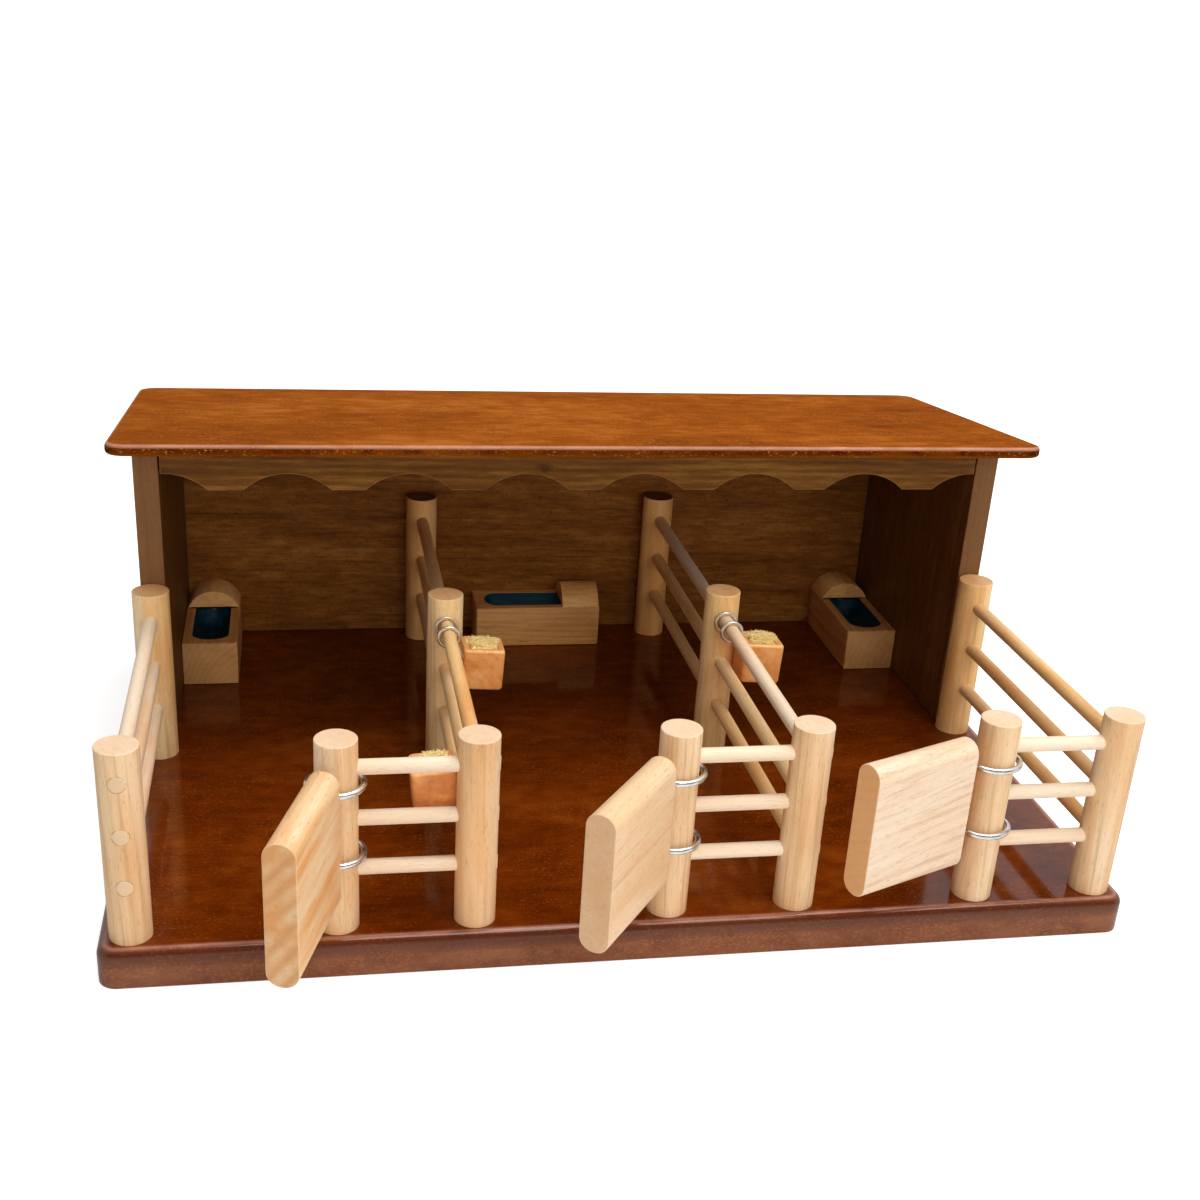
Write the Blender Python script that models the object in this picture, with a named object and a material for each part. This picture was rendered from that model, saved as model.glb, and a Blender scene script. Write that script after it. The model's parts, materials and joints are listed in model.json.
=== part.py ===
"""Three-stall wooden toy stable.

An open-fronted shelter with a scalloped fascia stands at the back of a stained base board.
Round posts and dowel rails fence the yard in front of it and part it into three stalls.
Each stall has a slab gate on two screw eyes, a trough, and a feed box hung on a divider rail.

Metres, +Z up, +X to the right and +Y to the back. The origin is the centre of the base board's
underside. The gates stand open by their own angles.
"""

import math

import bmesh
import bpy
from mathutils import Matrix, Vector

# Clearances
FIT_GAP = 0.0003
OVERRUN = 0.004

# Base board
BASE_WIDTH = 0.450
BASE_DEPTH = 0.337
BASE_THICKNESS = 0.0175
BASE_CORNER_RADIUS = 0.008
BASE_EDGE_RADIUS = 0.0042
BASE_FOOT_EASE = 0.0005

# Round posts
POST_RADIUS = 0.0088
POST_HEAD_RISE = 0.0132
POST_INSET = 0.0134
POST_SOCKET_DEPTH = 0.006
POST_EDGE_EASE = 0.0004
MIDDLE_POST_SETBACK = 0.0185
FRONT_RAIL_SHARE = 0.4062

# Dowel rails
RAIL_RADIUS = 0.0033
RAIL_TOP_HEIGHT = 0.0739
RAIL_SPACING = 0.02335
RAIL_SEAT_DEPTH = 0.006
RAIL_PROUD = 0.0002

# Shelter walls
YARD_DEPTH = 0.1838
WALL_THICKNESS = 0.0117
WALL_SIDE_INSET = 0.008
WALL_BACK_INSET = 0.004
WALL_FRONT_HEIGHT = 0.1565
BACK_WALL_THICKNESS = 0.006

# Roof panel
ROOF_THICKNESS = 0.0055
ROOF_SLOPE = math.radians(6.37)
ROOF_SIDE_OVERHANG = 0.001
ROOF_FRONT_OVERHANG = 0.0325
ROOF_BACK_OVERHANG = 0.0015
ROOF_CORNER_RADIUS = 0.010
ROOF_EDGE_RADIUS = 0.0019

# Scalloped fascia
FASCIA_THICKNESS = 0.009
FASCIA_HEIGHT = 0.0223
FASCIA_END_GAP = 0.0007
FASCIA_TEETH = 7
FASCIA_TOOTH_WIDTH = 0.0165
FASCIA_SCALLOP_RISE = 0.0082
FASCIA_END_MARGIN = 0.0009

# Gates
GATE_THICKNESS = 0.013
GATE_HEAD_RISE = 0.0077
GATE_GROUND_GAP = 0.020
GATE_EDGE_RADIUS = 0.0061
GATE_HINGE_DISTANCE = 0.0178
GATE_LATCH_GAP = 0.0011
GATE_END_EASE = 0.0003
GATE_OPEN_ANGLES = {
    "left": math.radians(72.7),
    "middle": math.radians(53.1),
    "right": math.radians(22.3),
}

# Screw eyes of the gates
EYE_WIRE_RADIUS = 0.00115
EYE_LOOP_CLEARANCE = 0.00125
UPPER_EYE_DROP = 0.0069
LOWER_EYE_RISE = 0.0074
EYE_SHANK_DEPTH = 0.009

# Feed boxes
FEED_BOX_WIDTH = 0.0201
FEED_BOX_LENGTH = 0.0194
FEED_BOX_HEIGHT = 0.0209
FEED_BOX_EDGE_RADIUS = 0.0015
FEED_BOX_DROP = 0.0057
FEED_BOX_LOOP_GAP = 0.0019
FEED_BOX_RIM = 0.0028
FEED_BOX_RECESS_DEPTH = 0.0048
FEED_BOX_TILT = math.radians(3.3)
FRONT_FEED_BOX_TILT = math.radians(4.8)

# Wire hangers of the feed boxes
HANGER_WIRE_RADIUS = 0.00075
HANGER_LOOP_CLEARANCE = 0.00095
HANGER_SPACING = 0.0122
HANGER_ANGLE = math.radians(51)
HANGER_SHANK_DEPTH = 0.003
HANGER_RUN_SHARE = 0.8

# Troughs
TROUGH_LENGTH = 0.0735
TROUGH_WIDTH = 0.0294
TROUGH_HEIGHT = 0.0242
TROUGH_EDGE_EASE = 0.0004
TROUGH_SLOT_WIDTH = 0.0198
TROUGH_SLOT_DEPTH = 0.013
TROUGH_SLOT_MARGIN = 0.0058
TROUGH_SLOT_END_LENGTH = 0.0075
TROUGH_HOOD_LENGTH = 0.0223
TROUGH_HOOD_RISE = 0.0101
TROUGH_HOOD_BED = 0.0005
MIDDLE_TROUGH_SHIFT = 0.0022

# Facets of the round shapes
POST_SIDES = 24
RAIL_SIDES = 12
CORNER_STEPS = 5
EDGE_STEPS = 4
BOX_EDGE_STEPS = 3
GATE_CORNER_STEPS = 6
EYE_STEPS = 24
EYE_SIDES = 6
HANGER_STEPS = 16
HANGER_SIDES = 6
SHANK_SIDES = 8
SCALLOP_STEPS = 10
SLOT_STEPS = 6
SLOT_SIDES = 16
HOOD_STEPS = 12
SMOOTH_ANGLE = math.radians(35)

# Heights and lines that several pieces share
DECK = BASE_THICKNESS
FRONT_Y = -BASE_DEPTH / 2
POST_ROW_Y = FRONT_Y + POST_INSET
WALL_FRONT_Y = FRONT_Y + YARD_DEPTH
WALL_BACK_Y = BASE_DEPTH / 2 - WALL_BACK_INSET
BACK_WALL_FACE_Y = WALL_BACK_Y - BACK_WALL_THICKNESS
WALL_OUTER_X = BASE_WIDTH / 2 - WALL_SIDE_INSET
WALL_INNER_X = WALL_OUTER_X - WALL_THICKNESS
SIDE_POST_X = BASE_WIDTH / 2 - POST_INSET
DIVIDER_X = SIDE_POST_X / 3
SIDE_REAR_POST_Y = WALL_FRONT_Y - POST_RADIUS - FIT_GAP
MIDDLE_POST_Y = WALL_FRONT_Y - MIDDLE_POST_SETBACK
DIVIDER_REAR_POST_Y = BACK_WALL_FACE_Y - POST_RADIUS - FIT_GAP
RAIL_HEIGHTS = {
    "top": DECK + RAIL_TOP_HEIGHT,
    "middle": DECK + RAIL_TOP_HEIGHT - RAIL_SPACING,
    "bottom": DECK + RAIL_TOP_HEIGHT - 2 * RAIL_SPACING,
}
POST_HEIGHT = RAIL_TOP_HEIGHT + POST_HEAD_RISE

# The gates and their eyes keep their places beside the front rails.
GATE_HEIGHT = RAIL_TOP_HEIGHT + GATE_HEAD_RISE - GATE_GROUND_GAP
EYE_HEIGHTS = {
    "upper": RAIL_HEIGHTS["top"] - UPPER_EYE_DROP,
    "lower": RAIL_HEIGHTS["bottom"] + LOWER_EYE_RISE,
}

# Each gate post stands one front rail to the left of the post that ends its stall.
STALL_START_X = {"left": -SIDE_POST_X, "middle": -DIVIDER_X, "right": DIVIDER_X}
STALL_END_X = {"left": -DIVIDER_X, "middle": DIVIDER_X, "right": SIDE_POST_X}
STALL_END_POST = {
    "left": "left_divider_front_post",
    "middle": "right_divider_front_post",
    "right": "right_front_post",
}
FRONT_RAIL_SPAN = 2 * DIVIDER_X * FRONT_RAIL_SHARE
GATE_POST_X = {stall: x - FRONT_RAIL_SPAN for stall, x in STALL_END_X.items()}

# Turns that lay a bar drawn along +Z
TO_PLUS_Y = Matrix.Rotation(-math.pi / 2, 4, "X")
TO_MINUS_X = Matrix.Rotation(-math.pi / 2, 4, "Y")


def clear_scene():
    """Remove whatever the scene holds."""
    for item in list(bpy.data.objects):
        bpy.data.objects.remove(item, do_unlink=True)


def make_material(name, colour, roughness, metallic=0.0):
    """One Principled material."""
    material = bpy.data.materials.new(name)
    material.use_nodes = True
    shader = material.node_tree.nodes["Principled BSDF"]
    shader.inputs["Base Color"].default_value = (*colour, 1.0)
    shader.inputs["Roughness"].default_value = roughness
    shader.inputs["Metallic"].default_value = metallic
    return material


def add_object(name, shape, material=None):
    """Turn a bmesh into a named object; a piece without a material is a cutter."""
    bmesh.ops.recalc_face_normals(shape, faces=shape.faces)
    mesh = bpy.data.meshes.new(name)
    shape.to_mesh(mesh)
    shape.free()
    mesh.shade_smooth()
    mesh.set_sharp_from_angle(angle=SMOOTH_ANGLE)
    item = bpy.data.objects.new(name, mesh)
    bpy.context.scene.collection.objects.link(item)
    if material is None:
        item.hide_render = True
        item.display_type = "WIRE"
    else:
        mesh.materials.append(material)
    return item


def add_boolean(item, tool, operation="DIFFERENCE"):
    """Cut a piece by a tool, or join the tool to it."""
    modifier = item.modifiers.new(tool.name, "BOOLEAN")
    modifier.operation = operation
    modifier.solver = "EXACT"
    modifier.object = tool


def shift(x, y, z):
    """Matrix that moves by x, y and z."""
    return Matrix.Translation((x, y, z))


def skin_loops(loops):
    """Closed body from loops of points, each joined to the next, with both ends filled."""
    shape = bmesh.new()
    rings = [[shape.verts.new(point) for point in loop] for loop in loops]
    for lower, upper in zip(rings, rings[1:]):
        for index, corner in enumerate(lower):
            following = (index + 1) % len(lower)
            shape.faces.new((corner, lower[following], upper[following], upper[index]))
    shape.faces.new(list(reversed(rings[0])))
    shape.faces.new(rings[-1])
    return shape


def prism(outline, near_place, far_place):
    """Body between two copies of an outline, each placed in space by a function of its pairs."""
    return skin_loops([[near_place(*pair) for pair in outline], [far_place(*pair) for pair in outline]])


def rounded_rectangle(width, depth, radius, steps, height):
    """Points of a level rectangle with round corners, about the origin."""
    points = []
    for quarter, (side_x, side_y) in enumerate(((1, 1), (-1, 1), (-1, -1), (1, -1))):
        for step in range(steps + 1):
            angle = math.pi / 2 * (quarter + step / steps)
            x = side_x * (width / 2 - radius) + radius * math.cos(angle)
            y = side_y * (depth / 2 - radius) + radius * math.sin(angle)
            points.append((x, y, height))
    return points


def rounded_slab(width, depth, thickness, corner, foot_edge, top_edge, steps, edge_steps):
    """Slab from height 0 up, with round plan corners and rounded foot and top edges."""
    quarter_turns = [math.pi / 2 * step / edge_steps for step in range(edge_steps + 1)]
    levels = []
    for angle in quarter_turns:
        levels.append((foot_edge * (1 - math.sin(angle)), foot_edge * (1 - math.cos(angle))))
    for angle in quarter_turns:
        height = thickness - top_edge * (1 - math.sin(angle))
        levels.append((top_edge * (1 - math.cos(angle)), height))
    loops = []
    for inset, height in levels:
        inner_width = width - 2 * inset
        inner_depth = depth - 2 * inset
        loops.append(rounded_rectangle(inner_width, inner_depth, corner - inset, steps, height))
    return skin_loops(loops)


def round_bar(radius, length, sides, ease=0.0):
    """Round bar along +Z from the origin, with its upper end eased."""
    levels = [(radius, 0.0), (radius, length - ease)]
    if ease > 0:
        levels.append((radius - ease, length))
    turns = [2 * math.pi * side / sides for side in range(sides)]
    loops = []
    for reach, height in levels:
        loops.append([(reach * math.cos(turn), reach * math.sin(turn), height) for turn in turns])
    return skin_loops(loops)


def wire_loop(loop_radius, wire_radius, steps, sides):
    """Closed loop of round wire about the Z axis, with flats where a shank joins it."""
    shape = bmesh.new()
    rings = []
    for step in range(steps):
        turn = 2 * math.pi * (step + 0.5) / steps
        ring = []
        for side in range(sides):
            angle = 2 * math.pi * (side + 0.5) / sides
            reach = loop_radius + wire_radius * math.cos(angle)
            point = (reach * math.cos(turn), reach * math.sin(turn), wire_radius * math.sin(angle))
            ring.append(shape.verts.new(point))
        rings.append(ring)
    for step, here in enumerate(rings):
        onward = rings[(step + 1) % steps]
        for side in range(sides):
            other = (side + 1) % sides
            shape.faces.new((here[side], onward[side], onward[other], here[other]))
    return shape


def roof_underside(y):
    """Height of the roof panel's lower face above the line y."""
    return DECK + WALL_FRONT_HEIGHT + FIT_GAP - (y - WALL_FRONT_Y) * math.tan(ROOF_SLOPE)


def build_base(material):
    """Board with a rounded top edge that carries the whole stable."""
    shape = rounded_slab(
        BASE_WIDTH,
        BASE_DEPTH,
        BASE_THICKNESS,
        BASE_CORNER_RADIUS,
        BASE_FOOT_EASE,
        BASE_EDGE_RADIUS,
        CORNER_STEPS,
        EDGE_STEPS,
    )
    return add_object("base_board", shape, material)


def build_post(name, x, y, base, material):
    """Round post seated in a blind socket of the base board."""
    length = POST_SOCKET_DEPTH + POST_HEIGHT
    post = add_object(name, round_bar(POST_RADIUS, length, POST_SIDES, POST_EDGE_EASE), material)
    post.location = (x, y, DECK - POST_SOCKET_DEPTH)
    depth = POST_SOCKET_DEPTH + FIT_GAP
    socket = add_object(
        name + "_socket", round_bar(POST_RADIUS + FIT_GAP, depth + OVERRUN, POST_SIDES)
    )
    socket.location = (x, y, DECK - depth)
    add_boolean(base, socket)
    return post


def build_posts(base, material):
    """The ten fence posts and the three gate posts, by name."""
    places = {
        "left_front_post": (-SIDE_POST_X, POST_ROW_Y),
        "left_rear_post": (-SIDE_POST_X, SIDE_REAR_POST_Y),
        "right_front_post": (SIDE_POST_X, POST_ROW_Y),
        "right_rear_post": (SIDE_POST_X, SIDE_REAR_POST_Y),
    }
    for side, x in (("left", -DIVIDER_X), ("right", DIVIDER_X)):
        places[side + "_divider_front_post"] = (x, POST_ROW_Y)
        places[side + "_divider_middle_post"] = (x, MIDDLE_POST_Y)
        places[side + "_divider_rear_post"] = (x, DIVIDER_REAR_POST_Y)
    for stall, x in GATE_POST_X.items():
        places[stall + "_gate_post"] = (x, POST_ROW_Y)
    posts = {}
    for name, (x, y) in places.items():
        posts[name] = build_post(name, x, y, base, material)
    return posts


def build_rail(name, start, end, posts, material):
    """Dowel from start to end, with a bore for it in each post that it enters."""
    direction = (end - start).normalized()
    length = (end - start).length
    bore = add_object(
        name + "_bore", round_bar(RAIL_RADIUS + FIT_GAP, length + 2 * FIT_GAP, RAIL_SIDES)
    )
    bore.location = start - direction * FIT_GAP
    rail = add_object(name, round_bar(RAIL_RADIUS, length, RAIL_SIDES), material)
    rail.location = start
    for piece in (rail, bore):
        piece.rotation_euler = direction.to_track_quat("Z", "Y").to_euler()
    for post in posts:
        add_boolean(post, bore)


def build_side_rails(posts, material):
    """Rails of the two outer fences; the left ones show their ends in the front post."""
    starts = {
        "left": POST_ROW_Y - POST_RADIUS - RAIL_PROUD,
        "right": POST_ROW_Y + RAIL_RADIUS + FIT_GAP,
    }
    end_y = SIDE_REAR_POST_Y - POST_RADIUS + RAIL_SEAT_DEPTH
    for side, x in (("left", -SIDE_POST_X), ("right", SIDE_POST_X)):
        entered = [posts[side + "_front_post"], posts[side + "_rear_post"]]
        for level, height in RAIL_HEIGHTS.items():
            start = Vector((x, starts[side], height))
            end = Vector((x, end_y, height))
            build_rail(f"{side}_side_rail_{level}", start, end, entered, material)


def build_divider_rails(posts, material):
    """Rails between the stalls, through the middle post and from just behind the front rails."""
    start_y = POST_ROW_Y + RAIL_RADIUS + FIT_GAP
    end_y = DIVIDER_REAR_POST_Y - POST_RADIUS + RAIL_SEAT_DEPTH
    for side, x in (("left", -DIVIDER_X), ("right", DIVIDER_X)):
        entered = [posts[f"{side}_divider_{place}_post"] for place in ("front", "middle", "rear")]
        for level, height in RAIL_HEIGHTS.items():
            start = Vector((x, start_y, height))
            end = Vector((x, end_y, height))
            build_rail(f"{side}_divider_rail_{level}", start, end, entered, material)


def build_front_rails(posts, material):
    """Rails from each gate post to the post that ends its stall."""
    for stall, post_x in STALL_END_X.items():
        reach = RAIL_RADIUS if stall == "right" else POST_RADIUS + RAIL_PROUD
        start_x = GATE_POST_X[stall] + POST_RADIUS - RAIL_SEAT_DEPTH
        entered = [posts[stall + "_gate_post"], posts[STALL_END_POST[stall]]]
        for level, height in RAIL_HEIGHTS.items():
            start = Vector((start_x, POST_ROW_Y, height))
            end = Vector((post_x + reach, POST_ROW_Y, height))
            build_rail(f"{stall}_front_rail_{level}", start, end, entered, material)


def build_side_wall(name, side, material):
    """Side wall whose top follows the roof."""
    foot = DECK + FIT_GAP
    outline = [
        (WALL_FRONT_Y, foot),
        (WALL_BACK_Y, foot),
        (WALL_BACK_Y, roof_underside(WALL_BACK_Y) - FIT_GAP),
        (WALL_FRONT_Y, roof_underside(WALL_FRONT_Y) - FIT_GAP),
    ]
    shape = prism(
        outline, lambda y, z: (side * WALL_INNER_X, y, z), lambda y, z: (side * WALL_OUTER_X, y, z)
    )
    return add_object(name, shape, material)


def build_back_wall(material):
    """Back panel between the side walls."""
    half = WALL_INNER_X - FIT_GAP
    foot = DECK + FIT_GAP
    outline = [
        (BACK_WALL_FACE_Y, foot),
        (WALL_BACK_Y, foot),
        (WALL_BACK_Y, roof_underside(WALL_BACK_Y) - FIT_GAP),
        (BACK_WALL_FACE_Y, roof_underside(BACK_WALL_FACE_Y) - FIT_GAP),
    ]
    shape = prism(outline, lambda y, z: (-half, y, z), lambda y, z: (half, y, z))
    return add_object("back_wall", shape, material)


def build_roof(material):
    """Sloping panel with round corners and edges that rests on the walls."""
    front_y = WALL_FRONT_Y - ROOF_FRONT_OVERHANG
    back_y = WALL_BACK_Y + ROOF_BACK_OVERHANG
    centre_y = (front_y + back_y) / 2
    shape = rounded_slab(
        BASE_WIDTH + 2 * ROOF_SIDE_OVERHANG,
        (back_y - front_y) / math.cos(ROOF_SLOPE),
        ROOF_THICKNESS,
        ROOF_CORNER_RADIUS,
        ROOF_EDGE_RADIUS,
        ROOF_EDGE_RADIUS,
        CORNER_STEPS,
        EDGE_STEPS,
    )
    roof = add_object("roof_panel", shape, material)
    roof.location = (0, centre_y, roof_underside(centre_y))
    roof.rotation_euler = (-ROOF_SLOPE, 0, 0)


def fascia_lower_edge(half):
    """Lower edge from -half to half as pairs of x and rise above the teeth.

    Flat teeth stand between scallops that are arcs of a circle, and the board's ends cut
    through the middle of a scallop.
    """
    pitch = 2 * (half - FASCIA_END_MARGIN) / FASCIA_TEETH
    half_chord = (pitch - FASCIA_TOOTH_WIDTH) / 2
    radius = (half_chord ** 2 + FASCIA_SCALLOP_RISE ** 2) / (2 * FASCIA_SCALLOP_RISE)
    half_arc = math.asin(half_chord / radius)
    arcs = []
    for gap in range(FASCIA_TEETH + 1):
        centre = (gap - FASCIA_TEETH / 2) * pitch
        for step in range(SCALLOP_STEPS + 1):
            angle = half_arc * (2 * step / SCALLOP_STEPS - 1)
            rise = FASCIA_SCALLOP_RISE - radius * (1 - math.cos(angle))
            arcs.append((centre + radius * math.sin(angle), rise))
    end_rise = FASCIA_SCALLOP_RISE - radius + math.sqrt(radius ** 2 - FASCIA_END_MARGIN ** 2)
    inner = [(x, rise) for x, rise in arcs if abs(x) < half - FASCIA_END_MARGIN]
    return [(-half, end_rise), *inner, (half, end_rise)]


def build_fascia(material):
    """Board under the roof's front edge with flat teeth and round scallops."""
    half = WALL_INNER_X - FASCIA_END_GAP
    foot = DECK + WALL_FRONT_HEIGHT - FASCIA_HEIGHT
    front_y = WALL_FRONT_Y
    back_y = WALL_FRONT_Y + FASCIA_THICKNESS
    lower = [(x, foot + rise) for x, rise in fascia_lower_edge(half)]
    loops = []
    for y in (front_y, back_y):
        top = roof_underside(y) - FIT_GAP
        loops.append([(x, y, z) for x, z in [*lower, (half, top), (-half, top)]])
    add_object("fascia_board", skin_loops(loops), material)


def build_gate(stall, wood, steel):
    """Slab gate with rounded long edges, hung on its post by two screw eyes."""
    reach = GATE_POST_X[stall] - STALL_START_X[stall] - POST_RADIUS - GATE_LATCH_GAP
    axis_foot = (GATE_POST_X[stall], POST_ROW_Y, DECK + GATE_GROUND_GAP)
    turn = (0, 0, GATE_OPEN_ANGLES[stall])
    shape = rounded_slab(
        GATE_HEIGHT,
        GATE_THICKNESS,
        reach - GATE_HINGE_DISTANCE,
        min(GATE_EDGE_RADIUS, GATE_THICKNESS / 2 - FIT_GAP),
        GATE_END_EASE,
        GATE_END_EASE,
        GATE_CORNER_STEPS,
        1,
    )
    gate = add_object(stall + "_gate", shape, wood)
    gate.data.transform(shift(-GATE_HINGE_DISTANCE, 0, GATE_HEIGHT / 2) @ TO_MINUS_X)
    gate.location = axis_foot
    gate.rotation_euler = turn

    loop_radius = POST_RADIUS + EYE_LOOP_CLEARANCE + EYE_WIRE_RADIUS
    loop_shift = EYE_LOOP_CLEARANCE - FIT_GAP
    shank_start = loop_shift + loop_radius
    shank_length = GATE_HINGE_DISTANCE + EYE_SHANK_DEPTH - shank_start
    hole_start = GATE_HINGE_DISTANCE - OVERRUN
    hole_length = OVERRUN + EYE_SHANK_DEPTH + FIT_GAP
    for level, eye_height in EYE_HEIGHTS.items():
        height = eye_height - axis_foot[2]
        name = f"{stall}_gate_{level}_eye"
        eye = add_object(name, wire_loop(loop_radius, EYE_WIRE_RADIUS, EYE_STEPS, EYE_SIDES), steel)
        shank = add_object(name + "_shank", round_bar(EYE_WIRE_RADIUS, shank_length, SHANK_SIDES))
        hole = add_object(
            name + "_hole", round_bar(EYE_WIRE_RADIUS + FIT_GAP, hole_length, SHANK_SIDES)
        )
        eye.data.transform(shift(-loop_shift, 0, height))
        shank.data.transform(shift(-shank_start, 0, height) @ TO_MINUS_X)
        hole.data.transform(shift(-hole_start, 0, height) @ TO_MINUS_X)
        for piece in (eye, shank, hole):
            piece.location = axis_foot
            piece.rotation_euler = turn
        add_boolean(eye, shank, "UNION")
        add_boolean(gate, hole)


def feed_box_offset(tilt):
    """Distance from the rail's axis to a feed box, clear of its loops and of the post behind it."""
    loop_reach = RAIL_RADIUS + HANGER_LOOP_CLEARANCE + 2 * HANGER_WIRE_RADIUS
    corner = FEED_BOX_EDGE_RADIUS + FIT_GAP
    hanger_reach = HANGER_SPACING / 2 + HANGER_WIRE_RADIUS + FIT_GAP
    corner_y = POST_RADIUS + hanger_reach - FEED_BOX_LENGTH / 2 + corner
    clear = POST_RADIUS + FIT_GAP + corner
    corner_x = math.sqrt(max(0, clear ** 2 - corner_y ** 2))
    sway = (FEED_BOX_DROP + FEED_BOX_HEIGHT) * math.sin(tilt)
    return max(loop_reach + FEED_BOX_LOOP_GAP, corner_x - corner + sway)


def feed_box_shape(side, offset):
    """Box with rounded edges beside a rail that runs along Y through the origin."""
    shape = rounded_slab(
        FEED_BOX_WIDTH,
        FEED_BOX_LENGTH,
        FEED_BOX_HEIGHT,
        FEED_BOX_EDGE_RADIUS + FIT_GAP,
        FEED_BOX_EDGE_RADIUS,
        FEED_BOX_EDGE_RADIUS,
        BOX_EDGE_STEPS,
        BOX_EDGE_STEPS,
    )
    centre_x = side * (offset + FEED_BOX_WIDTH / 2)
    bmesh.ops.transform(
        shape, matrix=shift(centre_x, 0, -FEED_BOX_DROP - FEED_BOX_HEIGHT), verts=shape.verts
    )
    return shape


def feed_recess_shape(side, offset):
    """Cutter for the hay recess in the top of a feed box."""
    shape = rounded_slab(
        FEED_BOX_WIDTH - 2 * FEED_BOX_RIM,
        FEED_BOX_LENGTH - 2 * FEED_BOX_RIM,
        FEED_BOX_RECESS_DEPTH + OVERRUN,
        FEED_BOX_EDGE_RADIUS,
        FIT_GAP,
        FIT_GAP,
        BOX_EDGE_STEPS,
        1,
    )
    centre_x = side * (offset + FEED_BOX_WIDTH / 2)
    bmesh.ops.transform(
        shape, matrix=shift(centre_x, 0, -FEED_BOX_DROP - FEED_BOX_RECESS_DEPTH), verts=shape.verts
    )
    return shape


def build_feed_box(name, divider_x, centre_y, side, tilt, wood, steel):
    """Feed box hung beside a divider's top rail by two wire loops joined inside its wood."""
    offset = feed_box_offset(tilt)
    box = add_object(name, feed_box_shape(side, offset), wood)
    recess = add_object(name + "_recess", feed_recess_shape(side, offset))
    add_boolean(box, recess)
    pieces = [box, recess]

    loop_radius = RAIL_RADIUS + HANGER_LOOP_CLEARANCE + HANGER_WIRE_RADIUS
    loop_centre = shift(0, 0, FIT_GAP - HANGER_LOOP_CLEARANCE)
    outward = loop_centre @ Matrix.Rotation(side * (math.pi / 2 + HANGER_ANGLE), 4, "Y")
    face_reach = offset / math.cos(HANGER_ANGLE)
    shank_end = face_reach + HANGER_SHANK_DEPTH
    run_reach = shank_end - HANGER_WIRE_RADIUS
    run_radius = HANGER_RUN_SHARE * HANGER_WIRE_RADIUS
    run_inset = (1 - HANGER_RUN_SHARE) * HANGER_WIRE_RADIUS
    run_start = shift(0, run_inset - HANGER_SPACING / 2, run_reach)
    tunnel_radius = HANGER_WIRE_RADIUS + FIT_GAP
    half_spacing = HANGER_SPACING / 2

    run_length = HANGER_SPACING - 2 * run_inset
    hanger = add_object(name + "_hanger", round_bar(run_radius, run_length, HANGER_SIDES), steel)
    hanger.data.transform(outward @ run_start @ TO_PLUS_Y)
    tunnel = add_object(name + "_tunnel", round_bar(tunnel_radius, HANGER_SPACING, HANGER_SIDES))
    tunnel.data.transform(outward @ shift(0, -half_spacing, run_reach) @ TO_PLUS_Y)
    add_boolean(box, tunnel)
    pieces += [hanger, tunnel]

    for end, y in (("front", -half_spacing), ("rear", half_spacing)):
        loop = add_object(
            f"{name}_{end}_loop", wire_loop(loop_radius, HANGER_WIRE_RADIUS, HANGER_STEPS, HANGER_SIDES)
        )
        shank = add_object(
            f"{name}_{end}_shank", round_bar(HANGER_WIRE_RADIUS, shank_end - loop_radius, SHANK_SIDES)
        )
        hole = add_object(
            f"{name}_{end}_hole",
            round_bar(tunnel_radius, OVERRUN + HANGER_SHANK_DEPTH + FIT_GAP, SHANK_SIDES),
        )
        loop.data.transform(loop_centre @ shift(0, y, 0) @ TO_PLUS_Y)
        shank.data.transform(outward @ shift(0, y, loop_radius))
        hole.data.transform(outward @ shift(0, y, face_reach - OVERRUN))
        add_boolean(hanger, shank, "UNION")
        add_boolean(hanger, loop, "UNION")
        add_boolean(box, hole)
        pieces += [loop, shank, hole]

    for piece in pieces:
        piece.location = (divider_x, centre_y, RAIL_HEIGHTS["top"])
        piece.rotation_euler = (0, side * tilt, 0)


def build_feed_boxes(wood, steel):
    """The left box hangs against the front post, the other two against the middle posts."""
    hanger_reach = HANGER_SPACING / 2 + HANGER_WIRE_RADIUS + FIT_GAP
    front_y = POST_ROW_Y + POST_RADIUS + hanger_reach
    rear_y = MIDDLE_POST_Y - POST_RADIUS - hanger_reach
    build_feed_box("left_feed_box", -DIVIDER_X, front_y, -1, FRONT_FEED_BOX_TILT, wood, steel)
    build_feed_box("middle_feed_box", -DIVIDER_X, rear_y, 1, FEED_BOX_TILT, wood, steel)
    build_feed_box("right_feed_box", DIVIDER_X, rear_y, 1, FEED_BOX_TILT, wood, steel)


def slot_shape():
    """Round-bottomed cutter along +X whose widest level lies on the block's top.

    Its cross-section is an ellipse, and both ends close in as half ellipses.
    """
    start = TROUGH_SLOT_MARGIN + TROUGH_SLOT_END_LENGTH
    end = TROUGH_LENGTH - TROUGH_HOOD_LENGTH
    quarter_turns = [math.pi / 2 * step / SLOT_STEPS for step in range(1, SLOT_STEPS + 1)]
    stations = [(start - TROUGH_SLOT_END_LENGTH * math.cos(a), math.sin(a)) for a in quarter_turns]
    for angle in reversed(quarter_turns):
        stations.append((end + TROUGH_SLOT_END_LENGTH * math.cos(angle), math.sin(angle)))
    loops = []
    for x, share in stations:
        loop = []
        for side in range(SLOT_SIDES):
            angle = 2 * math.pi * side / SLOT_SIDES
            y = share * TROUGH_SLOT_WIDTH / 2 * math.cos(angle)
            z = share * TROUGH_SLOT_DEPTH * math.sin(angle)
            loop.append((x, y, TROUGH_HEIGHT + z))
        loops.append(loop)
    return skin_loops(loops)


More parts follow.
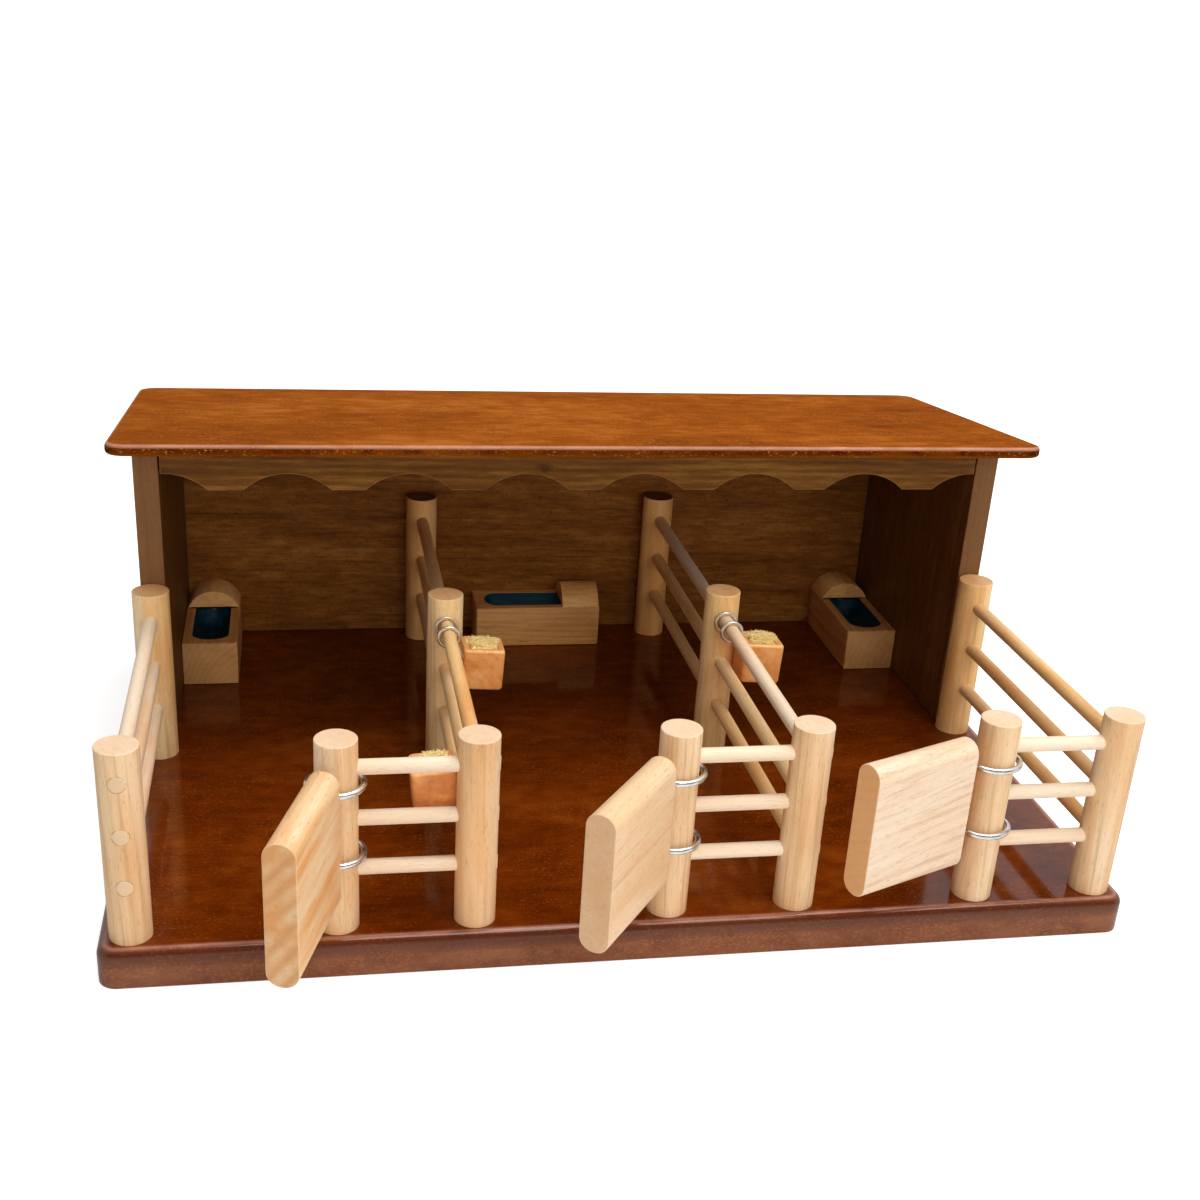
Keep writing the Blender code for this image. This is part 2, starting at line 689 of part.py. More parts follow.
def hood_shape():
    """Half-round hood across the far end of the block."""
    half = TROUGH_WIDTH / 2 - TROUGH_EDGE_EASE
    radius = (half ** 2 + TROUGH_HOOD_RISE ** 2) / (2 * TROUGH_HOOD_RISE)
    half_arc = math.asin(half / radius)
    foot = TROUGH_HEIGHT - TROUGH_HOOD_BED
    outline = [(-half, foot), (half, foot)]
    for step in range(HOOD_STEPS + 1):
        angle = half_arc * (1 - 2 * step / HOOD_STEPS)
        height = TROUGH_HEIGHT + TROUGH_HOOD_RISE - radius * (1 - math.cos(angle))
        outline.append((radius * math.sin(angle), height))
    front = TROUGH_LENGTH - TROUGH_HOOD_LENGTH
    back = TROUGH_LENGTH - TROUGH_EDGE_EASE
    return prism(outline, lambda y, z: (front, y, z), lambda y, z: (back, y, z))


def build_trough(name, place, turn, material):
    """Block with a scooped slot and a half-round hood, drawn along +X from its open end."""
    shape = rounded_slab(
        TROUGH_LENGTH,
        TROUGH_WIDTH,
        TROUGH_HEIGHT,
        TROUGH_EDGE_EASE,
        TROUGH_EDGE_EASE / 2,
        TROUGH_EDGE_EASE / 2,
        1,
        1,
    )
    block = add_object(name, shape, material)
    block.data.transform(shift(TROUGH_LENGTH / 2, 0, 0))
    slot = add_object(name + "_slot", slot_shape())
    hood = add_object(name + "_hood", hood_shape())
    add_boolean(block, slot)
    add_boolean(block, hood, "UNION")
    for piece in (block, slot, hood):
        piece.location = place
        piece.rotation_euler = (0, 0, turn)


def build_troughs(material):
    """One trough in each stall, its open end towards the yard or along the back wall."""
    foot = DECK + FIT_GAP
    open_end_y = BACK_WALL_FACE_Y - FIT_GAP - TROUGH_LENGTH
    aside_x = WALL_INNER_X - FIT_GAP - TROUGH_WIDTH / 2
    against_back_y = BACK_WALL_FACE_Y - FIT_GAP - TROUGH_WIDTH / 2
    middle_start_x = -MIDDLE_TROUGH_SHIFT - TROUGH_LENGTH / 2
    build_trough("left_trough", (-aside_x, open_end_y, foot), math.pi / 2, material)
    build_trough("middle_trough", (middle_start_x, against_back_y, foot), 0, material)
    build_trough("right_trough", (aside_x, open_end_y, foot), math.pi / 2, material)


def main():
    """Build the whole stable."""
    clear_scene()
    base_stain = make_material("base_stain", (0.13, 0.035, 0.010), 0.25)
    roof_stain = make_material("roof_stain", (0.33, 0.10, 0.012), 0.35)
    wall_stain = make_material("wall_stain", (0.16, 0.065, 0.018), 0.5)
    fascia_wood = make_material("fascia_wood", (0.28, 0.15, 0.05), 0.5)
    post_wood = make_material("post_wood", (0.72, 0.45, 0.23), 0.5)
    rail_wood = make_material("rail_wood", (0.82, 0.60, 0.38), 0.5)
    gate_wood = make_material("gate_wood", (0.80, 0.55, 0.32), 0.5)
    eye_steel = make_material("eye_steel", (0.75, 0.75, 0.73), 0.25, 1.0)
    feed_wood = make_material("feed_wood", (0.60, 0.24, 0.06), 0.4)
    trough_wood = make_material("trough_wood", (0.26, 0.13, 0.05), 0.5)

    base = build_base(base_stain)
    posts = build_posts(base, post_wood)
    build_side_rails(posts, rail_wood)
    build_divider_rails(posts, rail_wood)
    build_front_rails(posts, rail_wood)
    build_side_wall("left_wall", -1, wall_stain)
    build_side_wall("right_wall", 1, wall_stain)
    build_back_wall(wall_stain)
    build_roof(roof_stain)
    build_fascia(fascia_wood)
    for stall in GATE_POST_X:
        build_gate(stall, gate_wood, eye_steel)
    build_feed_boxes(feed_wood, eye_steel)
    build_troughs(trough_wood)


main()
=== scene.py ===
"""Toy stable, dressed: turned posts and dowels, eased boards, bent wire eyes, scooped troughs and hay.

Every piece is a skin over rings of points that numpy works out. Nearly all stand in place of a CAD node.
"""

import json
import math

import bpy
import numpy as np
from mathutils import Matrix, Vector


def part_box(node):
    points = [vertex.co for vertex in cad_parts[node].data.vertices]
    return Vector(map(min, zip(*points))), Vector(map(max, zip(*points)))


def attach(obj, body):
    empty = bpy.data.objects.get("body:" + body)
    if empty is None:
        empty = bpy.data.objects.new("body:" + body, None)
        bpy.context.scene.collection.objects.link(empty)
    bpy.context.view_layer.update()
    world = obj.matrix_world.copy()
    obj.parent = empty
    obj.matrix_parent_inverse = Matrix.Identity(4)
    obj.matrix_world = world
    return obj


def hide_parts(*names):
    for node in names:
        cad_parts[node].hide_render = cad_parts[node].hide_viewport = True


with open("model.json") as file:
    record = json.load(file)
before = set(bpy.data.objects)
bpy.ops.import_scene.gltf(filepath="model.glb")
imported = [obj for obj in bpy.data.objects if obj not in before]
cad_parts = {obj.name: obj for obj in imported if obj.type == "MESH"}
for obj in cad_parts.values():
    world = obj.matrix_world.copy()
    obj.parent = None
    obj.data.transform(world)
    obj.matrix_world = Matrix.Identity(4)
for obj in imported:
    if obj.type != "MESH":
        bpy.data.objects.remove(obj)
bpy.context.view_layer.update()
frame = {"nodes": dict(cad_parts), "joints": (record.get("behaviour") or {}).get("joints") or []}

# Sizes in metres, and angles, as the solids have them
POST_RADIUS = 0.0088
RAIL_RADIUS = 0.0033
RAIL_TOP = 0.0914
DIVIDER_X = 0.070533
ROOF_SLOPE = math.radians(6.37)
ROOF_THICKNESS = 0.0055
GATE_SIZE = (0.0616, 0.013, 0.05607)
GATE_EDGE_RADIUS = 0.0061
GATE_HINGE_DISTANCE = 0.0178
GATE_OPEN = {"left": math.radians(72.7), "middle": math.radians(53.1), "right": math.radians(22.3)}
EYE_HEIGHTS = {"upper": 0.0473, "lower": 0.0152}
EYE_WIRE = 0.00142
EYE_LOOP = 0.0113
EYE_REACH = 0.02585
EYE_SETBACK = 0.00095
BOX_SIZE = (0.0201, 0.0194, 0.0209)
BOX_DROP = 0.0057
BOX_OFFSET = 0.00765
BOX_CORNER = 0.0022
BOX_RIM = 0.0028
BOX_RECESS = 0.0048
HANGER_WIRE = 0.00098
HANGER_LOOP = 0.0049
HANGER_REACH = 0.0152
HANGER_HALF_SPACING = 0.0061
HANGER_JOINT = (0.0144, 0.0006)
HANGER_ANGLE = math.radians(51)
HANGER_SAG = 0.0006
TROUGH_SIZE = (0.0735, 0.0294, 0.0242)
SCOOP_TIP = 0.0058
SCOOP_FULL = 0.0133
SCOOP_END = 0.0587
SCOOP_HALF_WIDTH = 0.0099
SCOOP_DEPTH = 0.0130
HOOD_START = 0.0512
HOOD_RISE = 0.0101
STALLS = ("left", "middle", "right")


# ---- Meshes ----


def turn_about(axis, angle):
    """Matrix that turns rows of points about X, Y or Z by an angle."""
    return np.array(Matrix.Rotation(angle, 3, axis)).T


def grain_of(points, axis, seed, pith=(0.02, 0.011), lean=0.05):
    """Board coordinates: the distance along the grain, then the two distances from the pith line.

    The pith line leans by a small share of the distance along the grain, so the rings run out of the
    faces as they do in sawn timber. The seed shifts the board along its log and turns it round the pith.
    """
    draw = np.random.default_rng(seed)
    along = points[..., axis]
    across = points[..., (axis + 1) % 3] + lean * draw.uniform(0.4, 1.0) * along
    through = points[..., (axis + 2) % 3] + lean * draw.uniform(-0.7, 0.7) * along
    angle = draw.uniform(-0.5, 0.5)
    turned = across * math.cos(angle) - through * math.sin(angle)
    risen = across * math.sin(angle) + through * math.cos(angle)
    start = draw.uniform(0.2, 3.0)
    reach = draw.uniform(0.8, 1.3)
    return np.stack([along + start, turned + pith[0] * reach, risen + pith[1] * reach], -1)


def unit(vectors):
    """Vectors brought to a length of one."""
    return vectors / (np.linalg.norm(vectors, axis=-1, keepdims=True) + 1e-12)


def ring_quads(index):
    """Four-sided faces that join each ring of point numbers to the next."""
    lower, upper = index[..., :-1, :], index[..., 1:, :]
    return np.stack([lower, np.roll(lower, -1, -1), np.roll(upper, -1, -1), upper], -1).reshape(-1, 4)


def skin_faces(count, around, start=0):
    """Faces of a closed skin over rings of points: four-sided between rings, and one flat at each end."""
    index = np.arange(count * around).reshape(count, around) + start
    return ring_quads(index).tolist() + [index[0][::-1].tolist(), index[-1].tolist()]


def make_piece(name, rings, material, grain, nodes, edge=0.0, end=0.0, tone=0.0, body="stable_frame"):
    """Closed skin over an array of rings (ring, point, 3).

    Attributes keep the board coordinates, and how much each ring or point is edge, end grain or warmer wood.
    On some pieces these shares carry painted light: painted highlights and a painted dark reflection band
    along edges, and painted shade and light through the tone.
    """
    count, around = rings.shape[:2]
    values = {"edge": edge, "end": end, "tone": tone}
    for key, value in values.items():
        value = value[:, None] if np.ndim(value) == 1 else value
        values[key] = np.broadcast_to(value, (count, around)).ravel()
    points, faces = rings.reshape(-1, 3), skin_faces(count, around)
    finish_piece(name, points, faces, material, grain.reshape(-1, 3), nodes, body, values)


def placed(name, data):
    """New object in the scene."""
    item = bpy.data.objects.new(name, data)
    bpy.context.scene.collection.objects.link(item)
    return item


def finish_piece(name, points, faces, material, grain, nodes, body, values=None):
    """Mesh object from points and faces, with its attributes, its body, its CAD nodes and its finish."""
    mesh = bpy.data.meshes.new(name)
    mesh.from_pydata(points, [], faces)
    mesh.attributes.new("grain", "FLOAT_VECTOR", "POINT").data.foreach_set("vector", grain.ravel())
    for key, value in (values or {}).items():
        mesh.attributes.new(key, "FLOAT", "POINT").data.foreach_set("value", np.asarray(value, float))
    mesh.shade_smooth()
    mesh.set_sharp_from_angle(angle=math.radians(44))
    mesh.materials.append(material)
    piece = placed(name, mesh)
    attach(piece, body)
    if nodes:
        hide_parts(*nodes)


def rounded_outline(width, depth, radius, steps):
    """Rectangle with round corners: each corner's centre plus the radius along a quarter turn."""
    turns = (np.arange(4)[:, None] + np.linspace(0, 1, steps + 1)) * math.pi / 2
    x = np.array([1, -1, -1, 1])[:, None] * (width / 2 - radius) + radius * np.cos(turns)
    y = np.array([1, 1, -1, -1])[:, None] * (depth / 2 - radius) + radius * np.sin(turns)
    return np.stack([x.ravel(), y.ravel()], -1)


def drawn_in(outline, inset):
    """Outline moved inwards: each corner goes along the sum of its two sides' normals."""
    side = unit(np.roll(outline, -1, 0) - outline)
    after = np.stack([side[:, 1], -side[:, 0]], -1)
    before = np.roll(after, 1, 0)
    reach = 1 + np.sum(after * before, 1, keepdims=True)
    return outline - inset * (after + before) / reach


def edge_levels(thickness, foot, top, rounds=6, rest=0.0009, stops=()):
    """Inset, height, edge share and face share of each ring of a slab.

    The foot and top edges are quarter circles, and one more ring lies inside each flat face.
    """
    turns = np.linspace(0, math.pi / 2, rounds + 1)
    middle = np.array(stops, float)
    across, along = np.sin(turns), np.cos(turns)
    inset = np.concatenate([[foot + rest], foot * (1 - across), 0 * middle, top * (1 - along), [top + rest]])
    height = np.concatenate([[0.0], foot * (1 - along), middle, thickness - top * (1 - across), [thickness]])
    edge = np.concatenate([[0], 0.6 * np.sin(2 * turns), 0 * middle, np.sin(2 * turns), [0]])
    face = np.concatenate([[1], along, 0 * middle, across, [1]])
    return inset, height, edge, face


def slab_rings(outline_at, inset, height):
    """Rings of a slab: the outline at each inset, lifted to its height."""
    return np.stack([np.insert(outline_at(i), 2, h, axis=1) for i, h in zip(inset, height)])


def bar_rings(axis, start, end, radius, sides, ease, centre, curved_start=False, curved_end=False):
    """Rings of a round bar along one axis, eased by a quarter circle at both ends.

    A curved end is sanded flush with a round post that the bar goes through: it follows the post's
    radius less the root of the radius squared less the level distance squared.
    """
    turns = np.linspace(0, math.pi / 2, 5)
    reach = np.concatenate([[radius * 0.45, radius - ease * 2], radius - ease * (1 - np.sin(turns))])
    run = np.concatenate([[start, start], start + ease * (1 - np.cos(turns))])
    reach = np.concatenate([reach, reach[::-1]])
    run = np.concatenate([run, (start + end - run)[::-1]])
    edge = np.concatenate([[0, 0], np.sin(2 * turns)])
    end_share = np.concatenate([[1, 1], np.cos(turns)])
    angle = 2 * math.pi * np.arange(sides) / sides
    rings = np.empty((len(run), sides, 3))
    rings[..., axis] = run[:, None]
    rings[..., (axis + 1) % 3] = centre[(axis + 1) % 3] + reach[:, None] * np.cos(angle)
    rings[..., (axis + 2) % 3] = centre[(axis + 2) % 3] + reach[:, None] * np.sin(angle)
    half = len(run) // 2
    level = 1 - axis
    if curved_start or curved_end:
        aside = rings[..., level] - centre[level]
        sagitta = POST_RADIUS - np.sqrt(POST_RADIUS ** 2 - aside ** 2)
        rings[:half, :, axis] += sagitta[:half] * curved_start
        rings[half:, :, axis] -= sagitta[half:] * curved_end
    edge = np.concatenate([edge, edge[::-1]])[:, None]
    return rings, edge, np.concatenate([end_share, end_share[::-1]])[:, None]


def tube_rings(path, normal, radius, sides):
    """Rings round a path that lies near a plane.

    Each ring is the path's point plus the radius along the plane's normal and along the normal crossed
    with the path's direction. The radius closes in as a circle over its own length at both ends.
    """
    across = unit(np.cross(normal, np.gradient(path, axis=0)))
    run = np.concatenate([[0], np.cumsum(np.linalg.norm(np.diff(path, axis=0), axis=1))])
    closeness = np.clip(np.minimum(run, run[-1] - run) / radius, 0, 1)
    reach = radius * np.sqrt(np.clip(1 - (1 - closeness) ** 2, 0.03, 1))
    angle = 2 * math.pi * np.arange(sides) / sides
    circle = across[:, None] * np.cos(angle)[:, None] + np.asarray(normal, float) * np.sin(angle)[:, None]
    rings = path[:, None] + reach[:, None, None] * circle
    along = np.repeat(run[:, None], sides, 1)
    grain = np.stack([along, radius * np.cos(angle) + 0 * along, radius * np.sin(angle) + 0 * along], -1)
    return rings, grain


def eye_path(loop_radius, far, wire):
    """Flat path of a screw eye whose shank lies along -x.

    The shank runs in from its far end, a cubic curve bends it into the loop, and the loop is an arc
    that ends beside the neck.
    """
    start, stop = math.radians(157), math.radians(-163)
    neck = np.array([-loop_radius - 2.3 * wire, 0.0])
    land = loop_radius * np.array([math.cos(start), math.sin(start)])
    land_way = np.array([math.sin(start), -math.cos(start)])
    pull = 1.7 * wire
    ends = np.array([neck, neck + [pull, 0], land - pull * land_way, land])
    t = np.linspace(0, 1, 9)[:, None]
    bend = (1 - t) ** 3 * ends[0] + 3 * t * (1 - t) ** 2 * ends[1]
    bend += 3 * t * t * (1 - t) * ends[2] + t ** 3 * ends[3]
    tip = np.array([0, 0.06, 0.2, 0.5, 1.0]) * wire
    shank = np.concatenate([-far + tip, np.linspace(-far + 2 * wire, neck[0], 6)[:-1]])
    shank = np.stack([shank, 0 * shank], -1)
    turn = np.linspace(start, stop, 73)
    last = stop - np.array([0.5, 0.8, 0.94, 1.0]) * wire / loop_radius
    turn = np.concatenate([turn[1:], last])
    loop = loop_radius * np.stack([np.cos(turn), np.sin(turn)], -1)
    return np.concatenate([shank, bend, loop])


# ---- Materials ----


def shade(red, green, blue):
    """Linear colour of a colour given as it shows on a screen, 0 to 255."""
    value = np.array([red, green, blue]) / 255
    linear = np.where(value <= 0.04045, value / 12.92, ((value + 0.055) / 1.055) ** 2.4)
    return (*linear.tolist(), 1.0)


def fill_inputs(tree, item, inputs):
    """Inputs of a node, as constants or as other nodes' outputs."""
    for key, value in inputs.items():
        socket = item.inputs[key]
        if isinstance(value, bpy.types.NodeSocket):
            tree.links.new(value, socket)
        else:
            socket.default_value = value


def node(tree, kind, inputs=None, **settings):
    """One shader node with its settings and inputs."""
    item = tree.nodes.new("ShaderNode" + kind)
    for key, value in settings.items():
        setattr(item, key, value)
    fill_inputs(tree, item, inputs or {})
    return item


def stretched(tree, vector, scale, place=(0, 0, 0)):
    """The vector times a scale for each axis, moved by a place."""
    return node(tree, "Mapping", {"Vector": vector, "Scale": scale, "Location": place}).outputs[0]


def noise(tree, vector, scale, detail=2.0, roughness=0.5, place=(0, 0, 0), output=0):
    """Soft noise from 0 to 1 over a vector times a scale: a value, or three from output 1."""
    vector = stretched(tree, vector, scale, place)
    inputs = {"Vector": vector, "Scale": 1.0, "Detail": detail, "Roughness": roughness}
    return node(tree, "TexNoise", inputs).outputs[output]


def calc(tree, operation, a, b=0.0, c=0.0):
    """Sum, product or other plain operation on up to three values."""
    return node(tree, "Math", {0: a, 1: b, 2: c}, operation=operation).outputs[0]


def product(tree, a, b):
    """One value times another."""
    return calc(tree, "MULTIPLY", a, b)


def spread(tree, value, low, high, out_low=0.0, out_high=1.0):
    """The value carried from one range to another, and kept inside it."""
    inputs = {"Value": value, "From Min": low, "From Max": high, "To Min": out_low, "To Max": out_high}
    return node(tree, "MapRange", inputs).outputs[0]


def blend(tree, share, colour, tone, kind="MIX"):
    """Colour that goes over to a tone, by a share."""
    inputs = {0: share, 6: colour, 7: shade(*tone)}
    return node(tree, "Mix", inputs, data_type="RGBA", blend_type=kind, clamp_factor=True).outputs[2]


def ramp(tree, share, tones, places=(0.0, 0.5, 1.0)):
    """Colour that goes through the tones, each at its place from 0 to 1."""
    item = node(tree, "ValToRGB", {0: share})
    elements = item.color_ramp.elements
    for place in places[1:-1]:
        elements.new(place)
    for element, place, tone in zip(elements, places, tones):
        element.position = place
        element.color = shade(*tone)
    return item.outputs[0]


def attribute(tree, name, output=2):
    """A value of the piece's own attribute."""
    return node(tree, "Attribute", attribute_name=name).outputs[output]


def start_material(name):
    """New node material, its tree and its Principled shader."""
    material = bpy.data.materials.new(name)
    material.use_nodes = True
    tree = material.node_tree
    shader = tree.nodes["Principled BSDF"]
    return material, tree, shader


def far_from(tree, place):
    """Distance from the origin."""
    return node(tree, "VectorMath", {0: place}, operation="LENGTH").outputs[1]


def object_place(tree):
    """Place on the object, in its own coordinates."""
    return node(tree, "TexCoord").outputs["Object"]


def between(tree, value, low, high):
    """Noise carried to a range. Soft noise seldom leaves 0.3 to 0.7."""
    return spread(tree, value, 0.3, 0.7, low, high)


def veer(tree, value, reach):
    """Noise carried to a range from minus the reach to the reach."""
    return between(tree, value, -reach, reach)


def surface(tree, shader, colour, rough, height, strength, distance, others=None):
    """Colour, roughness, a small relief and other inputs of the shader."""
    relief = node(tree, "Bump", {"Height": height, "Strength": strength, "Distance": distance})
    inputs = {"Base Color": colour, "Roughness": rough, "Normal": relief.outputs[0]}
    fill_inputs(tree, shader, inputs | (others or {}))


def wood(
    name, tones, ring_gap=0.0055, ring=0.15, face_ring=1.0, line=1.0, waver=1.6, fibre=0.25,
    fibre_scale=(26, 1000), patch=0.5, flush=0.0, flush_tone=(238, 178, 112), streak=0.3,
    streak_tone=(190, 150, 96), pore=0.35, pore_tone=(150, 105, 70), end_tone=None, end_share=0.6,
    edge_tone=None, edge_share=0.5, rough=0.5, shine=0.35, bores=None, knot=None,
):
    """Bare or thinly stained timber.

    Soft growth rings lie round the pith, over them fibres, pale and dark patches, warm flushes, dark
    streaks and short pores, all drawn out along the grain. The tone attribute strengthens the flushes,
    which on the left feed box and the rear of the right divider's top rail is painted shade, and on the
    trough hoods painted light. End grain has its own tone, and edges another: wear on most pieces, and a
    painted highlight on the walls and fascia.
    """
    material, tree, shader = start_material(name)
    grain = attribute(tree, "grain", 1)
    reach = 0.007 * waver
    inputs = {0: noise(tree, grain, (7, 38, 38), output=1), 1: (reach, reach, reach), 2: grain}
    swayed = node(tree, "VectorMath", inputs, operation="MULTIPLY_ADD").outputs[0]
    swayed = stretched(tree, swayed, (0, 1, 1), (0, -reach / 2, -reach / 2))
    inputs = {"Vector": swayed, "Scale": 0.314 / ring_gap, "Distortion": waver}
    inputs |= {"Detail": 2.0, "Detail Scale": 0.5}
    rings = node(tree, "TexWave", inputs, wave_type="RINGS", rings_direction="X").outputs[1]
    along, across = fibre_scale
    fibres = noise(tree, grain, (along, across, across), 4.0, 0.7)
    patches = noise(tree, grain, (10, 70, 70), 3.0, 0.55, place=(3, 1, 7))
    flushes = noise(tree, grain, (16, 85, 85), 3.0, 0.6, place=(8, 4, 1))
    streaks = noise(tree, grain, (7, 420, 420), 2.0, 0.6, place=(1, 6, 3))
    pores = noise(tree, grain, (along * 9, across * 2.1, across * 2.1), 1.0, place=(5, 2, 9))
    pores = spread(tree, pores, 0.61, 0.74)

    lines = calc(tree, "POWER", rings, line)
    end = attribute(tree, "end")
    lines = product(tree, lines, spread(tree, end, 0.0, 1.0, face_ring))
    tone = calc(tree, "MULTIPLY_ADD", lines, -ring, 0.5 + ring / (1 + line))
    tone = calc(tree, "ADD", tone, spread(tree, fibres, 0.25, 0.75, -fibre / 2, fibre / 2))
    tone = calc(tree, "ADD", tone, veer(tree, patches, patch / 2))
    colour = ramp(tree, tone, tones)
    # The tone attribute strengthens the flushes: painted shade on the left feed box and the rear of the right
    # divider's top rail, painted light on the trough hoods.
    warmth = calc(tree, "MULTIPLY_ADD", attribute(tree, "tone"), 0.75, flush)
    warmth = product(tree, warmth, spread(tree, flushes, 0.38, 0.66, 0.15))
    colour = blend(tree, warmth, colour, flush_tone)
    colour = blend(tree, spread(tree, streaks, 0.54, 0.72, 0.0, streak), colour, streak_tone)
    colour = blend(tree, product(tree, pores, pore), colour, pore_tone)
    if end_tone:
        colour = blend(tree, product(tree, end, end_share), colour, end_tone)
    if edge_tone:
        # Edge tone: wear on most pieces, and a painted highlight along the arrises of the walls and fascia.
        edge_wear_and_painted_light = product(tree, attribute(tree, "edge"), between(tree, fibres, 0.3, 1.0))
        colour = blend(tree, product(tree, edge_wear_and_painted_light, edge_share), colour, edge_tone)
    if bores:
        colour = blend(tree, bore_lines(tree, *bores), colour, (128, 88, 56))
    if knot:
        colour = blend(tree, knot_share(tree, *knot), colour, (58, 30, 12))
    height = calc(tree, "MULTIPLY_ADD", pores, -0.9, calc(tree, "MULTIPLY_ADD", rings, 0.25, fibres))
    rough_now = between(tree, fibres, rough - 0.06, rough + 0.06)
    surface(tree, shader, colour, rough_now, height, 0.2, 0.0003, {"Specular IOR Level": shine})
    return material


def bore_lines(tree, centre_x, front_y, first_z, spacing):
    """Share of dark joint line round each rail end that shows on the front of a bored post.

    The line is where the distance from the nearest rail's axis, in x and z, is a little over the rail's
    radius, and noise breaks it into arcs.
    """
    place = object_place(tree)
    parts = node(tree, "SeparateXYZ", {0: place})
    aside = calc(tree, "SUBTRACT", parts.outputs[0], centre_x)
    step = calc(tree, "DIVIDE", calc(tree, "SUBTRACT", parts.outputs[2], first_z), spacing)
    nearest = calc(tree, "MINIMUM", calc(tree, "MAXIMUM", calc(tree, "ROUND", step), 0.0), 2.0)
    step = calc(tree, "SUBTRACT", step, nearest)
    rise = product(tree, step, spacing)
    squares = calc(tree, "ADD", product(tree, aside, aside), product(tree, rise, rise))
    distance = calc(tree, "SQRT", squares)
    off = calc(tree, "ABSOLUTE", calc(tree, "SUBTRACT", distance, RAIL_RADIUS + 0.00018))
    line = spread(tree, off, 0.00010, 0.00036, 0.6, 0.0)
    breaks = noise(tree, place, (330, 330, 330))
    line = product(tree, line, spread(tree, breaks, 0.42, 0.60, 0.1))
    front = calc(tree, "LESS_THAN", parts.outputs[1], front_y)
    return product(tree, line, front)


def knot_share(tree, centre, radius):
    """Share of dark knot: one at its middle, less with the distance, with an uneven rim."""
    place = object_place(tree)
    flat = stretched(tree, place, (0.55, 0.2, 1.0), (-0.55 * centre[0], -0.2 * centre[1], -centre[2]))
    distance = far_from(tree, flat)
    uneven = veer(tree, noise(tree, place, (500, 500, 900)), 0.4)
    share = spread(tree, calc(tree, "DIVIDE", distance, radius), 0.3, 1.4, 1.0, 0.0)
    return product(tree, share, calc(tree, "ADD", uneven, 0.75))


def lacquer(
    name, tones, speck_tone, speck, side_speck, edge_tone, edge_share, side_tone, side_kind, painted_highlight_tone, coat,
    coat_rough,
):
    """Stained board under clear lacquer: clouds of stain, faint streaks along the board, gold specks, and a
    painted highlight and a painted dark reflection band along its edges.
    """
    material, tree, shader = start_material(name)
    grain = attribute(tree, "grain", 1)
    clouds = noise(tree, grain, (9, 16, 16), 4.0, 0.6)
    mottle = noise(tree, grain, (70, 110, 110), 3.0, 0.6, place=(2, 5, 1))
    streaks = noise(tree, grain, (90, 900, 900), 3.0, 0.6, place=(7, 3, 2))
    specks = noise(tree, grain, (760, 1100, 1100), 1.0, 0.5, place=(4, 4, 4))
    drift = noise(tree, grain, (30, 40, 40), 2.0, 0.5, place=(6, 1, 8))
    tone = calc(tree, "ADD", between(tree, clouds, 0.2, 0.8), veer(tree, mottle, 0.2))
    tone = calc(tree, "ADD", tone, veer(tree, streaks, 0.1))
    colour = ramp(tree, tone, tones)
    side = product(tree, attribute(tree, "end"), spread(tree, mottle, 0.35, 0.65, 0.45))
    colour = blend(tree, side, colour, side_tone, side_kind)
    denser = calc(tree, "MULTIPLY_ADD", attribute(tree, "end"), side_speck, specks)
    drift = spread(tree, drift, 0.35, 0.6, 0.3)
    share = product(tree, spread(tree, denser, 0.60, 0.76, 0.0, speck), drift)
    colour = blend(tree, share, colour, speck_tone)
    # Painted light along the edges: a painted highlight on the roof's top arris, and a painted dark
    # reflection band on the base's top roundover.
    edge_wear_and_painted_light = product(tree, attribute(tree, "edge"), between(tree, mottle, 0.6, 1.0))
    colour = blend(tree, product(tree, edge_wear_and_painted_light, edge_share), colour, edge_tone)
    # Painted highlight line wherever the tone attribute is set, which is the base's top roundover.
    painted_highlight_share = product(tree, attribute(tree, "tone"), between(tree, mottle, 0.4, 0.9))
    colour = blend(tree, painted_highlight_share, colour, painted_highlight_tone)
    height = calc(tree, "MULTIPLY_ADD", specks, 0.5, streaks)
    others = {"Specular IOR Level": 0.0, "Coat Weight": coat, "Coat Roughness": coat_rough}
    surface(tree, shader, colour, between(tree, mottle, 0.36, 0.48), height, 0.06, 0.0002, others)
    return material


def zinc(name, dark, light, rough):
    """Zinc plate with faint drawing marks along the wire."""
    material, tree, shader = start_material(name)
    grain = attribute(tree, "grain", 1)
    marks = noise(tree, grain, (300, 2600, 2600))
    clouds = noise(tree, grain, (220, 220, 220))
    colour = ramp(tree, clouds, (dark, light), (0.3, 0.75))
    rough_now = between(tree, marks, rough, rough + 0.14)
    surface(tree, shader, colour, rough_now, marks, 0.12, 0.0001, {"Metallic": 1.0})
    return material


def brushed_paint(name):
    """Dark blue paint, thinner in streaks along the scoop, half glossy."""
    material, tree, shader = start_material(name)
    grain = attribute(tree, "grain", 1)
    streaks = noise(tree, grain, (60, 500, 500), 3.0, 0.6)
    colour = ramp(tree, streaks, ((8, 28, 44), (12, 48, 64), (30, 84, 90)), (0.25, 0.5, 0.8))
    surface(tree, shader, colour, between(tree, streaks, 0.42, 0.6), streaks, 0.3, 0.0002)
    return material


def straw(name):
    """Dry chopped straw: each stalk has its own yellow, paler along its ridges."""
    material, tree, shader = start_material(name)
    place = object_place(tree)
    kinds = noise(tree, place, (900, 900, 900))
    ridges = noise(tree, place, (5200, 5200, 5200), 1.0)
    colour = ramp(tree, kinds, ((238, 178, 84), (255, 228, 138), (255, 249, 204)), (0.25, 0.5, 0.8))
    colour = blend(tree, spread(tree, ridges, 0.35, 0.65, 0.0, 0.35), colour, (255, 250, 220))
    surface(tree, shader, colour, between(tree, kinds, 0.55, 0.75), ridges, 0.3, 0.0001)
    return material
